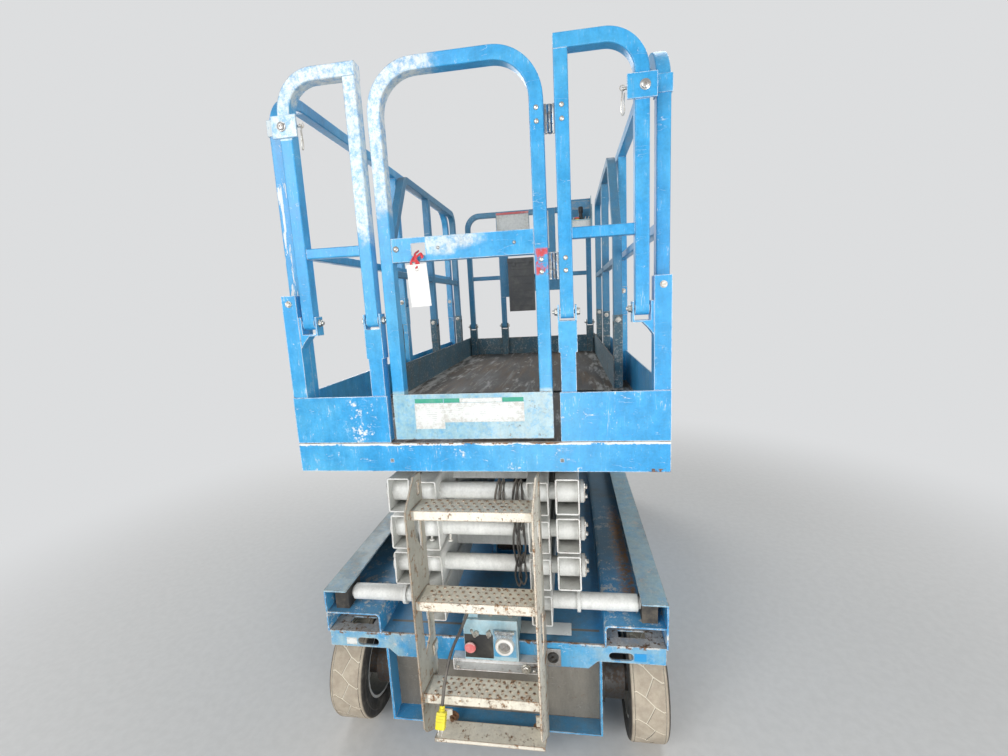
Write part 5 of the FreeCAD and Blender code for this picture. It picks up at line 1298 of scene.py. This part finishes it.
# Turned forms, each as distance out and radius
STOP_HEAD = ((0.0, 0.012), (0.004, 0.012), (0.005, 0.0185), (0.010, 0.0190), (0.0125, 0.0170),
             (0.0120, 0.0080), (0.0120, 0.001))
SOCKET_RING = ((0.004, 0.031), (0.016, 0.031), (0.0205, 0.0290), (0.0220, 0.026), (0.0220, 0.0205),
               (0.008, 0.0195), (0.008, 0.001))
SWITCH_RING = ((0.0, 0.019), (0.006, 0.018), (0.007, 0.013), (0.003, 0.012), (0.003, 0.006), (0.010, 0.005))


def on_panel(place, lift=0.0):
    """A place on the lower panel's face, lifted off it."""
    return Vector((place[0], PANEL_FACE_Y - lift, place[1]))


def build_stop_and_socket():
    """Worn stop button in its dark recess, and the ringed charging socket with a clear flap."""
    assemble("button_recess", "black", "chassis", "black_plastic",
             (slab, on_panel(RECESS[0], 0.0015), on_panel(RECESS[1], SEAT), 0.0005))
    assemble("stop_button", "pink", "chassis", "red_plastic",
             (turned, on_panel(STOP_PLACE), OUTWARD, STOP_HEAD, 32), replaces="ground_controls")
    assemble("socket_plate", "cabinet_blue", "chassis", "blue_paint",
             (slab, on_panel(SOCKET_PLATE[0], 0.005), on_panel(SOCKET_PLATE[1], SEAT), 0.002))
    socket = on_panel(SOCKET_PLACE)
    assemble("socket_ring", "white_plastic", "chassis", "white_paint",
             (turned, socket, OUTWARD, SOCKET_RING, 40))
    bm = bmesh.new()
    drum(bm, socket + OUTWARD * 0.0085, socket + OUTWARD * 0.0120, 0.0190, sides=32)
    for turn in CONTACT_TURNS:
        at = socket + Vector((math.cos(turn), 0, math.sin(turn))) * CONTACT_CIRCLE
        slab(bm, at + Vector((-0.001, -0.020, -0.004)), at + Vector((0.001, -0.012, 0.004)), 0.0003,
             Matrix.Rotation(turn, 3, "Y"))
    piece("socket_contacts", bm, "steel", "chassis")
    assemble("socket_flap", "clear", "chassis", "grey_plastic",
             (slab, on_panel(FLAP[0], 0.0300), on_panel(FLAP[1], 0.0275), 0.001,
              Matrix.Rotation(FLAP_LEAN, 3, "X")))
    bm = bmesh.new()
    start, end = (on_panel(place, FLAP_ROD_OUT) for place in FLAP_ROD)
    drum(bm, start, end, FLAP_ROD_RADIUS, sides=14)
    for x in FLAP_EARS_X:
        slab(bm, on_panel((x - 0.007, 0.488), 0.0090), on_panel((x + 0.007, 0.500), 0.0050), 0.001)
    piece("flap_hinge", bm, "zinc", "chassis")


def build_levers():
    """Two small bent levers with square shanks over the stop button."""
    bm = bmesh.new()
    for x, lean in LEVERS:
        base = on_panel((x, LEVER_HEIGHT))
        drum(bm, base, base + OUTWARD * 0.006, 0.010, sides=6)
        path = [base, base + OUTWARD * 0.016, base + Vector((lean * 0.4, -0.021, 0.004)),
                base + Vector((lean, -0.024, 0.022))]
        hose(bm, flow(path, 5), LEVER_RADIUS, 8)
        drum(bm, base + Vector((lean, -0.024, 0.020)), base + Vector((lean * 1.3, -0.025, 0.030)),
             0.0052, 0.0044, sides=14)
    piece("panel_levers", bm, "zinc", "chassis")


def build_lower_controls():
    """Bolts of the lower control box and its channel, and the ringed switch on the bumper."""
    bm = bmesh.new()
    hex_bolt(bm, on_panel(CHANNEL_BOLT_PLACE), OUTWARD, 0.024, stud=0.004)
    for x in BOX_BOLTS_X:
        hex_bolt(bm, (x, PANEL_FACE_Y + 0.025, PANEL_TOP), (0, 0, 1), 0.014)
    for place in CHANNEL_RIVETS:
        button_bolt(bm, on_panel(place), OUTWARD, 0.006)
    piece("panel_bolts", bm, "zinc", "chassis")
    x, z = SWITCH_PLACE
    assemble("switch_plate", "steel", "chassis", "steel",
             (slab, (x - 0.028, CHASSIS_FACE_Y - 0.004, z - 0.034),
              (x + 0.026, CHASSIS_FACE_Y - SEAT, z + 0.030), 0.002))
    assemble("switch_ring", "black", "chassis", "black_plastic",
             (turned, (x, CHASSIS_FACE_Y - 0.004, z), OUTWARD, SWITCH_RING, 28))


# Ladder
LADDER_MIDDLE_X = 0.003
DIMPLE_ROWS = 4
DIMPLES = 13
DIMPLE_SPAN = 0.33
DIMPLE_MARGIN = 0.013
# Dimple from its foot to its well: share of its height, radius
DIMPLE = ((0.0, 0.0060), (0.6, 0.0050), (1.0, 0.0040), (1.0, 0.0030), (0.4, 0.0024))
WELL_RADIUS = 0.0026
# Foot bolts: sideways, up
LADDER_BOLTS = ((-0.148, 0.115), (0.156, 0.095))
# Columns: tread top, front edge from the middle of the wheel base, rear edge
TREADS = ((0.944, -1.190, -1.103), (0.653, -1.208, -1.122), (0.325, -1.208, -1.130))


def build_ladder_grip():
    """Raised dimples with rusty open wells in rows on each tread, and the ladder's rusty foot bolts."""
    rims, wells = bmesh.new(), bmesh.new()
    picker = random.Random(7)
    usual = bpy.context.scene.lift_sizes.dimple_height
    for z, front, back in TREADS:
        for row in range(DIMPLE_ROWS):
            step = (back - front - 2 * DIMPLE_MARGIN) / (DIMPLE_ROWS - 1)
            y = MID_Y + front + DIMPLE_MARGIN + step * row
            for index in range(DIMPLES):
                x = LADDER_MIDDLE_X - DIMPLE_SPAN / 2 + DIMPLE_SPAN * (index + 0.5 * (row % 2)) / DIMPLES
                tall = usual + picker.uniform(-0.0006, 0.0004)
                rim = [(tall * share, radius) for share, radius in DIMPLE]
                turned(rims, (x, y, z - SEAT), (0, 0, 1), rim, 10)
                drum(wells, (x, y, z), (x, y, z + tall * 0.7), WELL_RADIUS, sides=8)
    piece("tread_dimples", rims, "ladder_white", "chassis")
    piece("tread_dimple_wells", wells, "rusty", "chassis")
    bm = bmesh.new()
    face = low("chassis_tub").y
    for x, z in LADDER_BOLTS:
        hex_bolt(bm, (x, face, z), OUTWARD, 0.022, stud=0.008)
        drum(bm, (x, face, z), (x, face - 0.0015, z), 0.021, sides=24)
    piece("ladder_bolts", bm, "rusty", "chassis")


# Scissor stack
STAGE_RISE = 0.131


def stage_place(stage, end):
    """Rear or front cross tube of an inner arm pair, at rest."""
    y = low("inner_arms_%d" % stage).y + 0.060 if end == "rear" else PIVOT["lift"].y
    return Vector((0, y, PIVOT["lift"].z + (stage - (1 if end == "rear" else 0)) * STAGE_RISE))


KEEPER = (0.004, 0.010, 0.030)
KEEPER_BOLT_RISE = 0.016


def build_pin_keepers():
    """Keeper plate and bolt over each pin's cap, on both sides of the stack."""
    for stage in range(1, STAGES + 1):
        ends = [stage_place(stage, "rear")] if stage > 1 else []
        if stage < STAGES:
            ends.append(stage_place(stage, "front"))
        thick, wide, tall = KEEPER
        bm = bmesh.new()
        for end in ends:
            for side in (-1, 1):
                at = Vector((side * PIN_CAP_X, end.y, end.z))
                slab(bm, at + Vector((side * SEAT, -wide, -tall)), at + Vector((side * thick, wide, tall)),
                     0.001)
                for rise in (-KEEPER_BOLT_RISE, KEEPER_BOLT_RISE):
                    hex_bolt(bm, at + Vector((side * thick, 0, rise)), (side, 0, 0), 0.013)
        piece("pin_keepers_%d" % stage, bm, "zinc", "inner_arms_%d" % stage)


# Loops over each stage's rear tube: where along the tube, how far down, how wide, how far out
CABLE_LOOPS = {
    4: ((0.050, 0.058, 0.016, 0.000), (0.064, 0.066, 0.014, 0.007), (0.108, 0.140, 0.018, 0.000),
        (0.122, 0.118, 0.024, 0.007)),
    3: ((0.106, 0.122, 0.020, 0.000), (0.122, 0.104, 0.024, 0.007)),
    2: ((0.106, 0.062, 0.018, 0.000), (0.122, 0.050, 0.022, 0.007)),
}
TIE_RADIUS = 0.0018
TUBE_STUDS_X = (-0.192, -0.126)
STUD_HEAD = ((0.0, 0.004), (0.020, 0.004), (0.021, 0.009), (0.027, 0.008))


def cable_loop(at, drop, wide, depth):
    """One hanging loop of cable over a cross tube, as distances from the tube's middle."""
    reach = PIN_TUBE_RADIUS + 0.005
    steps = ((0.0, 0.0, reach), (-0.4 * wide, -reach, 0.0), (-0.5 * wide, -reach - depth, -0.5 * drop),
             (0.1 * wide, -reach - depth, -drop), (0.55 * wide, -reach - depth, -0.5 * drop),
             (0.4 * wide, -reach, 0.0), (0.004, 0.2 * reach, reach))
    return [at + Vector(step) for step in steps]


def build_stack_cables():
    """Slack loops of the control cable, tied to the rear cross tubes of the upper stages."""
    radius = bpy.context.scene.lift_sizes.cable_radius
    for stage, loops in CABLE_LOOPS.items():
        place = stage_place(stage, "rear")
        bm = bmesh.new()
        ties = bmesh.new()
        for x, drop, wide, depth in loops:
            at = place + Vector((x, 0, 0))
            hose(bm, flow(cable_loop(at, drop, wide, depth), 6, closed=True), radius, 10, closed=True)
            tie = circle(at + Vector((0.006, 0, 0)), PIN_TUBE_RADIUS + 0.001, 18, "YZ")
            hose(ties, tie, TIE_RADIUS, 6, closed=True)
        piece("stack_cable_%d" % stage, bm, "cable", "inner_arms_%d" % stage)
        piece("cable_ties_%d" % stage, ties, "black", "inner_arms_%d" % stage)
    tube = stage_place(3, "rear")
    studs = [(turned, (x, tube.y, tube.z - PIN_TUBE_RADIUS + 0.002), (0, -0.3, -1), STUD_HEAD, 16)
             for x in TUBE_STUDS_X]
    assemble("tube_studs", "white_plastic", "inner_arms_3", "white_paint", *studs)


# Upper controls
STICK_PLACE = (0.400, 1.021)
KNOB_PLACE = (0.372, 0.977)
TOGGLE_PLACES = ((0.345, 0.985), (0.430, 0.975), (0.452, 0.975))
LID_HEIGHT = 0.965
# Turned forms, each as height and radius
STICK = ((0.0002, 0.030), (0.004, 0.030), (0.007, 0.024), (0.011, 0.026), (0.015, 0.020), (0.019, 0.022),
         (0.024, 0.015), (0.032, 0.014), (0.050, 0.0125), (0.054, 0.0160), (0.070, 0.0172), (0.088, 0.0170),
         (0.096, 0.0140), (0.0978, 0.0060))
COLLAR = ((0.0002, 0.0215), (0.003, 0.0215), (0.0035, 0.011), (0.007, 0.011))
KNOB = ((0.007, 0.011), (0.008, 0.0170), (0.015, 0.0180), (0.0185, 0.0155), (0.0200, 0.009), (0.0200, 0.001))
# Manual box: how far its lid stands over the sides, out and back, and how far the skirt hangs down
LID_OVER, LID_OUT, LID_BACK, LID_SKIRT = 0.003, 0.006, 0.030, 0.034
CATCH_INSET, CATCH_HALF = 0.045, 0.012
RIBS, RIB_FIRST, RIB_PITCH, RIB_TALL, RIB_INSET = 6, 0.040, 0.054, 0.010, 0.020


def build_upper_controls():
    """Joystick in its boot, stop knob on its collar, toggles, the face plate and the manual box's lid."""
    top = DECK_TOP + LID_HEIGHT
    stick = Vector((STICK_PLACE[0], MID_Y + STICK_PLACE[1], top))
    knob = Vector((KNOB_PLACE[0], MID_Y + KNOB_PLACE[1], top))
    up = Vector((0, 0, 1))
    assemble("joystick", "black", "front_rail", "black_plastic", (turned, stick, up, STICK, 32),
             replaces="upper_controls")
    assemble("stop_collar", "yellow", "front_rail", "plug_yellow", (turned, knob, up, COLLAR, 32))
    assemble("stop_knob", "red", "front_rail", "red_plastic", (turned, knob, up, KNOB, 32))
    bm = bmesh.new()
    for x, y in TOGGLE_PLACES:
        at = Vector((x, MID_Y + y, top))
        drum(bm, at, at + up * 0.005, 0.008, sides=6)
        drum(bm, at + up * 0.005, at + Vector((0.004, 0, 0.020)), 0.0028, 0.0035, sides=12)
    piece("toggle_switches", bm, "zinc", "front_rail")
    lo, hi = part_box("upper_control_box")
    assemble("control_face_plate", "paper", "front_rail", "white_paint",
             (slab, (lo.x + 0.010, lo.y - PLATE, lo.z + 0.010), (hi.x - 0.014, lo.y - PLATE_GAP, top - 0.008),
              0.0002))
    bm = bmesh.new()
    lo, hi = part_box("manual_box")
    slab(bm, (lo.x - LID_OVER, lo.y - LID_OUT, hi.z - LID_SKIRT),
         (hi.x + LID_OVER, lo.y + LID_BACK, hi.z + LID_OVER), 0.004)
    for x in (lo.x + CATCH_INSET, hi.x - CATCH_INSET):
        slab(bm, (x - CATCH_HALF, lo.y - 0.010, hi.z - 0.058),
             (x + CATCH_HALF, lo.y - 0.004, hi.z - 0.022), 0.002)
    for rib in range(RIBS):
        z = lo.z + RIB_FIRST + rib * RIB_PITCH
        slab(bm, (lo.x + RIB_INSET, lo.y - 0.003, z), (hi.x - RIB_INSET, lo.y + 0.002, z + RIB_TALL), 0.001)
    piece("manual_box_lid", bm, "grey", "front_rail")


# Charger lead
LEAD_DIAMETER = 0.010
# Route from the gland to the plug in millimetres: x, y from the middle of the wheel base, z
LEAD_ROUTE = ((-44.0, -1116.0, 592.0), (-52.0, -1140.0, 576.0), (-66.0, -1147.0, 541.0),
              (-84.0, -1144.0, 500.0), (-106.0, -1146.0, 455.0), (-121.0, -1162.0, 415.0),
              (-126.0, -1192.0, 381.0), (-128.0, -1221.0, 348.0), (-129.0, -1238.0, 318.0))
MILLIMETRE = 0.001
# Plug: its grip as distance along it and radius, then its body, ribs and blades
PLUG_GRIP = ((0.0, 0.0078), (0.003, 0.0088), (0.006, 0.0078), (0.009, 0.0095), (0.012, 0.0085),
             (0.017, 0.0110))
PLUG_MIDDLE = 0.0385
PLUG_HALF = Vector((0.0150, 0.0115, 0.0235))
PLUG_RIB_HALF = Vector((0.0150, 0.0128, 0.0016))
PLUG_RIB_STEPS = (-0.012, -0.004, 0.004)
BLADE_START, BLADE_LENGTH, BLADE_RADIUS, BLADE_OFFSET = 0.061, 0.017, 0.0019, 0.006


def route_points():
    return [Vector((x * MILLIMETRE, MID_Y + y * MILLIMETRE, z * MILLIMETRE)) for x, y, z in LEAD_ROUTE]


def build_charger_lead():
    """Free charger lead as one smooth curve, and its yellow plug with ribs and blades."""
    points = route_points()
    curve = bpy.data.curves.new("charger_lead", "CURVE")
    curve.dimensions = "3D"
    curve.bevel_depth = LEAD_DIAMETER / 2
    curve.bevel_resolution = 4
    curve.resolution_u = 12
    curve.use_fill_caps = True
    spline = curve.splines.new("NURBS")
    spline.points.add(len(points) - 1)
    for control, at in zip(spline.points, points):
        control.co = (*at, 1.0)
    spline.order_u = 3
    spline.use_endpoint_u = True
    lead = put_in_scene("charger_lead", curve)
    curve.materials.append(finish_of("cable"))
    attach(lead, "chassis")
    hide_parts("charger_cord")
    tip = points[-1]
    down = (points[-1] - points[-2]).normalized()
    bm = bmesh.new()
    turned(bm, tip, down, PLUG_GRIP, 24)
    lean = Vector((0, 0, -1)).rotation_difference(down).to_matrix()
    body = tip + down * PLUG_MIDDLE
    slab(bm, body - PLUG_HALF, body + PLUG_HALF, 0.004, lean)
    for step in PLUG_RIB_STEPS:
        rib = body + down * step
        slab(bm, rib - PLUG_RIB_HALF, rib + PLUG_RIB_HALF, 0.0006, lean)
    plug = piece("lead_plug", bm, "yellow", "chassis", replaces="charger_plug")
    bm = bmesh.new()
    across = down.cross(Vector((0, 1, 0))).normalized()
    for offset in (-BLADE_OFFSET, BLADE_OFFSET):
        at = tip + down * BLADE_START + across * offset
        drum(bm, at, at + down * BLADE_LENGTH, BLADE_RADIUS, sides=12)
    blades = piece("plug_blades", bm, "zinc", "chassis")


# Tray and deck fastenings
TRAY_LATCH_Y = 0.42
TRAY_LATCH_Z = 0.335
LATCH_BAR = (0.0048, 0.016, 0.0035)
RIVET_RISE = 0.034
SCREWS = 7
SCREW_MARGIN = 0.06
# Rows of screws. Columns: name, deck, body, places across
SCREW_ROWS = (
    ("deck_screws", "platform_deck", "platform", (-0.50, 0.50)),
    ("extension_screws", "extension_deck", "extension", (-0.46, 0.0, 0.46)),
)
# Turned heads, each as distance out and radius
LATCH_DISC = ((0.0, 0.022), (0.0015, 0.022), (0.0022, 0.020), (0.0022, 0.002))
SCREW_HEAD = ((0.0, 0.008), (0.0008, 0.0078), (0.0009, 0.003))


def build_tray_latches():
    """Flat turn latch and two low rivets on the outer face of each swing-out tray."""
    for name, side in SIDE_OF.items():
        tray = "tray_" + name
        face = high(tray).x if side > 0 else low(tray).x
        at = Vector((face, middle(tray).y + TRAY_LATCH_Y, TRAY_LATCH_Z))
        out = Vector((side, 0, 0))
        bm = bmesh.new()
        turned(bm, at, out, LATCH_DISC, 32)
        thick, wide, tall = LATCH_BAR
        slab(bm, at + Vector((0, -wide, -tall)), at + Vector((side * thick, wide, tall)), 0.001)
        for rise in (-RIVET_RISE, RIVET_RISE):
            button_bolt(bm, at + Vector((0, 0, rise)), out, 0.006)
        piece("tray_latch_" + name, bm, "zinc", tray)


def build_deck_bolts():
    """Countersunk heads in rows on both decks."""
    for name, node, body, rows in SCREW_ROWS:
        lo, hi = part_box(node)
        step = (hi.y - lo.y - 2 * SCREW_MARGIN) / (SCREWS - 1)
        bm = bmesh.new()
        for x in rows:
            for index in range(SCREWS):
                y = lo.y + SCREW_MARGIN + step * index
                turned(bm, (x, y, hi.z - PLATE_GAP), (0, 0, 1), SCREW_HEAD, 16)
        piece(name, bm, "steel", body)


# Camera and stage
SENSOR_WIDTH = 36.0


def build_camera(place, yaw, pitch, roll, lens):
    """Camera of the photo, turned from the +Y direction."""
    data = bpy.data.cameras.new("photo_camera")
    data.sensor_width = SENSOR_WIDTH
    data.lens = lens
    data.clip_start = 0.02
    camera = put_in_scene("photo_camera", data)
    turn = (Matrix.Rotation(yaw, 4, "Z") @ Matrix.Rotation(pitch, 4, "X") @ Matrix.Rotation(roll, 4, "Y")
            @ Matrix.Rotation(math.pi / 2, 4, "X"))
    camera.matrix_world = Matrix.Translation(place) @ turn
    bpy.context.scene.camera = camera


BACKGROUND = (0.80, 0.81, 0.82)
BACKGROUND_LEVEL = 0.90
FLOOR_NEAR, FLOOR_FAR = 1.7, 3.9
FLOOR_SIZE = 30.0


def build_floor():
    """Pale floor that keeps the shadow near the object and runs into the plain background far from it."""
    material, s = new_material("studio_floor")
    grain = s.noise(30.0, 6.0, 0.6)
    colour = s.mix(s.step(grain, 0.3, 0.7), rgba((0.61, 0.61, 0.60)), rgba((0.65, 0.65, 0.64)))
    matt = s.put("BsdfPrincipled", {"Base Color": colour, "Roughness": s.step(grain, 0.3, 0.7, 0.75, 0.88)})
    plain = s.put("Emission", {"Color": rgba(BACKGROUND), "Strength": BACKGROUND_LEVEL})
    away = s.put("VectorMath", {0: s.place()}, operation="LENGTH").outputs["Value"]
    rays = s.put("LightPath").outputs
    seen = s.maths("MAXIMUM", rays["Is Camera Ray"], rays["Is Glossy Ray"])
    blend = s.put("MixShader", {0: s.times(s.step(away, FLOOR_NEAR, FLOOR_FAR), seen),
                                1: matt.outputs[0], 2: plain.outputs[0]})
    s.join(blend.outputs[0], s.put("OutputMaterial").inputs["Surface"])
    bm = bmesh.new()
    bmesh.ops.create_grid(bm, x_segments=2, y_segments=2, size=FLOOR_SIZE)
    mesh = bpy.data.meshes.new("studio_floor")
    bm.to_mesh(mesh)
    bm.free()
    mesh.materials.append(material)
    floor = put_in_scene("studio_floor", mesh)


def build_world(level):
    """Even sky that the camera sees as the plain background."""
    world = bpy.data.worlds.new("studio")
    bpy.context.scene.world = world
    world.use_nodes = True
    world.node_tree.nodes.clear()
    s = Shader(world.node_tree)
    rays = s.put("LightPath").outputs
    seen = s.maths("MAXIMUM", rays["Is Camera Ray"], s.times(rays["Is Glossy Ray"], 0.6))
    strength = s.step(seen, 0.0, 1.0, level, BACKGROUND_LEVEL)
    sky = s.put("Background", {"Color": rgba(BACKGROUND), "Strength": strength})
    s.join(sky.outputs[0], s.put("OutputWorld").inputs["Surface"])


# Columns: name, place, aim, width, watts
LAMPS = (
    ("key_softbox", (-2.4, -5.2, 3.2), (0.0, -0.8, 1.0), 3.0, 143.0),
    ("fill_softbox", (2.8, -4.6, 1.5), (0.0, -0.8, 0.8), 2.6, 100.0),
    ("low_softbox", (0.1, -3.6, 0.6), (0.0, -1.0, 0.5), 0.9, 14.0),
    ("top_softbox", (2.2, 3.0, 6.0), (0.0, 0.2, 1.2), 3.5, 115.0),
    ("back_softbox", (-2.8, 4.4, 2.8), (0.0, 0.4, 0.9), 3.0, 110.0),
)


def build_lamps(gain):
    """Round softboxes aimed at the lift."""
    for name, place, aim, width, watts in LAMPS:
        data = bpy.data.lights.new(name, "AREA")
        data.shape = "DISK"
        data.size = width
        data.energy = watts * gain
        lamp = put_in_scene(name, data)
        lamp.matrix_world = (Matrix.Translation(place)
                             @ (Vector(aim) - Vector(place)).to_track_quat("-Z", "Y").to_matrix().to_4x4())


class LiftStageSettings(bpy.types.PropertyGroup):
    """Camera, light and background."""
    camera_place: bpy.props.FloatVectorProperty(
        name="Camera place", description="Where the photo was taken from", default=(0.2949, -2.3883, 1.5516),
        subtype="TRANSLATION", unit="LENGTH")
    yaw: bpy.props.FloatProperty(name="Yaw", description="Turn to the left", default=math.radians(8.452),
                                 subtype="ANGLE")
    pitch: bpy.props.FloatProperty(name="Pitch", description="Tilt up", default=math.radians(-9.426),
                                   subtype="ANGLE")
    roll: bpy.props.FloatProperty(name="Roll", description="Roll about the view", default=math.radians(2.939),
                                  subtype="ANGLE")
    lens: bpy.props.FloatProperty(name="Lens", description="Focal length for a 36 mm sensor, in millimetres",
                                  default=16.145, min=5.0)
    sky_level: bpy.props.FloatProperty(name="Sky level", description="Strength of the light from all round",
                                       default=0.40, min=0.0)
    lamp_gain: bpy.props.FloatProperty(name="Lamp gain", description="Factor on the watts of all softboxes",
                                       default=1.0, min=0.0)


class LiftOperator:
    """Shared by the operators: run the builders that the class names."""
    builders = ()

    def execute(self, context):
        for build in self.builders:
            build()
        return {"FINISHED"}


class LIFT_OT_stage(bpy.types.Operator):
    """Camera, lamps, sky and floor"""
    bl_idname = "lift.stage"
    bl_label = "Stage"

    def execute(self, context):
        settings = context.scene.lift_stage
        build_camera(settings.camera_place, settings.yaw, settings.pitch, settings.roll, settings.lens)
        build_world(settings.sky_level)
        build_lamps(settings.lamp_gain)
        build_floor()
        return {"FINISHED"}


class LIFT_OT_cords(LiftOperator, bpy.types.Operator):
    """Charger lead with its plug"""
    bl_idname = "lift.cords"
    bl_label = "Cords"
    builders = (build_charger_lead,)


class LIFT_OT_finishes(LiftOperator, bpy.types.Operator):
    """Worn finishes of the construction's own pieces"""
    bl_idname = "lift.finishes"
    bl_label = "Finishes"
    builders = (dress_nodes,)


class LIFT_OT_wheels(bpy.types.Operator):
    """Tread, side walls and hub nuts"""
    bl_idname = "lift.wheels"
    bl_label = "Wheels"

    def execute(self, context):
        for corner in WHEELS:
            build_tyre(corner)
            build_wheel_nuts(corner)
        return {"FINISHED"}


class LIFT_OT_rails(LiftOperator, bpy.types.Operator):
    """Pivot bolts and latches of the guard rails"""
    bl_idname = "lift.rails"
    bl_label = "Rail fittings"
    builders = (build_clevis_bolts, build_latches, build_corner_bolts)


class LIFT_OT_gate(LiftOperator, bpy.types.Operator):
    """Gate hinges, latch parts and the blank tag"""
    bl_idname = "lift.gate"
    bl_label = "Gate fittings"
    builders = (build_gate_fittings, build_tag)


class LIFT_OT_plates(LiftOperator, bpy.types.Operator):
    """Blank plates"""
    bl_idname = "lift.plates"
    bl_label = "Plates"
    builders = (build_plates,)


class LIFT_OT_controls(LiftOperator, bpy.types.Operator):
    """Lower and upper controls"""
    bl_idname = "lift.controls"
    bl_label = "Controls"
    builders = (build_stop_and_socket, build_levers, build_lower_controls, build_upper_controls)


class LIFT_OT_ladder(LiftOperator, bpy.types.Operator):
    """Grip of the treads and the ladder's bolts"""
    bl_idname = "lift.ladder"
    bl_label = "Ladder"
    builders = (build_ladder_grip,)


class LIFT_OT_stack(LiftOperator, bpy.types.Operator):
    """Pin keepers and cable loops of the scissor stack"""
    bl_idname = "lift.stack"
    bl_label = "Scissor stack"
    builders = (build_pin_keepers, build_stack_cables)


class LIFT_OT_fastenings(LiftOperator, bpy.types.Operator):
    """Latches of the trays and screws of the decks"""
    bl_idname = "lift.fastenings"
    bl_label = "Fastenings"
    builders = (build_tray_latches, build_deck_bolts)


OPERATORS = (LIFT_OT_stage, LIFT_OT_cords, LIFT_OT_finishes, LIFT_OT_wheels, LIFT_OT_rails, LIFT_OT_gate,
             LIFT_OT_plates, LIFT_OT_controls, LIFT_OT_ladder, LIFT_OT_stack, LIFT_OT_fastenings)


class LIFT_PT_panel(bpy.types.Panel):
    """Lists the operators that dress the lift"""
    bl_idname = "LIFT_PT_panel"
    bl_label = "Scissor Lift"
    bl_space_type = "VIEW_3D"
    bl_region_type = "UI"
    bl_category = "Scissor Lift"

    def draw(self, context):
        for operator in OPERATORS:
            self.layout.operator(operator.bl_idname)
        for group in SETTINGS:
            for name in SETTINGS[group].__annotations__:
                self.layout.prop(getattr(context.scene, group), name)


SETTINGS = {"lift_stage": LiftStageSettings, "lift_paint": LiftPaintSettings, "lift_sizes": LiftSizeSettings}
CLASSES = (*SETTINGS.values(), *OPERATORS, LIFT_PT_panel)


def register():
    for entry in CLASSES:
        bpy.utils.register_class(entry)
    for name, group in SETTINGS.items():
        setattr(bpy.types.Scene, name, bpy.props.PointerProperty(type=group))


def unregister():
    for name in SETTINGS:
        delattr(bpy.types.Scene, name)
    for entry in reversed(CLASSES):
        bpy.utils.unregister_class(entry)


def main():
    register()
    bpy.context.scene.view_settings.view_transform = "Standard"
    for operator in OPERATORS:
        area, name = operator.bl_idname.split(".")
        getattr(getattr(bpy.ops, area), name)()


if __name__ == "__main__":
    main()
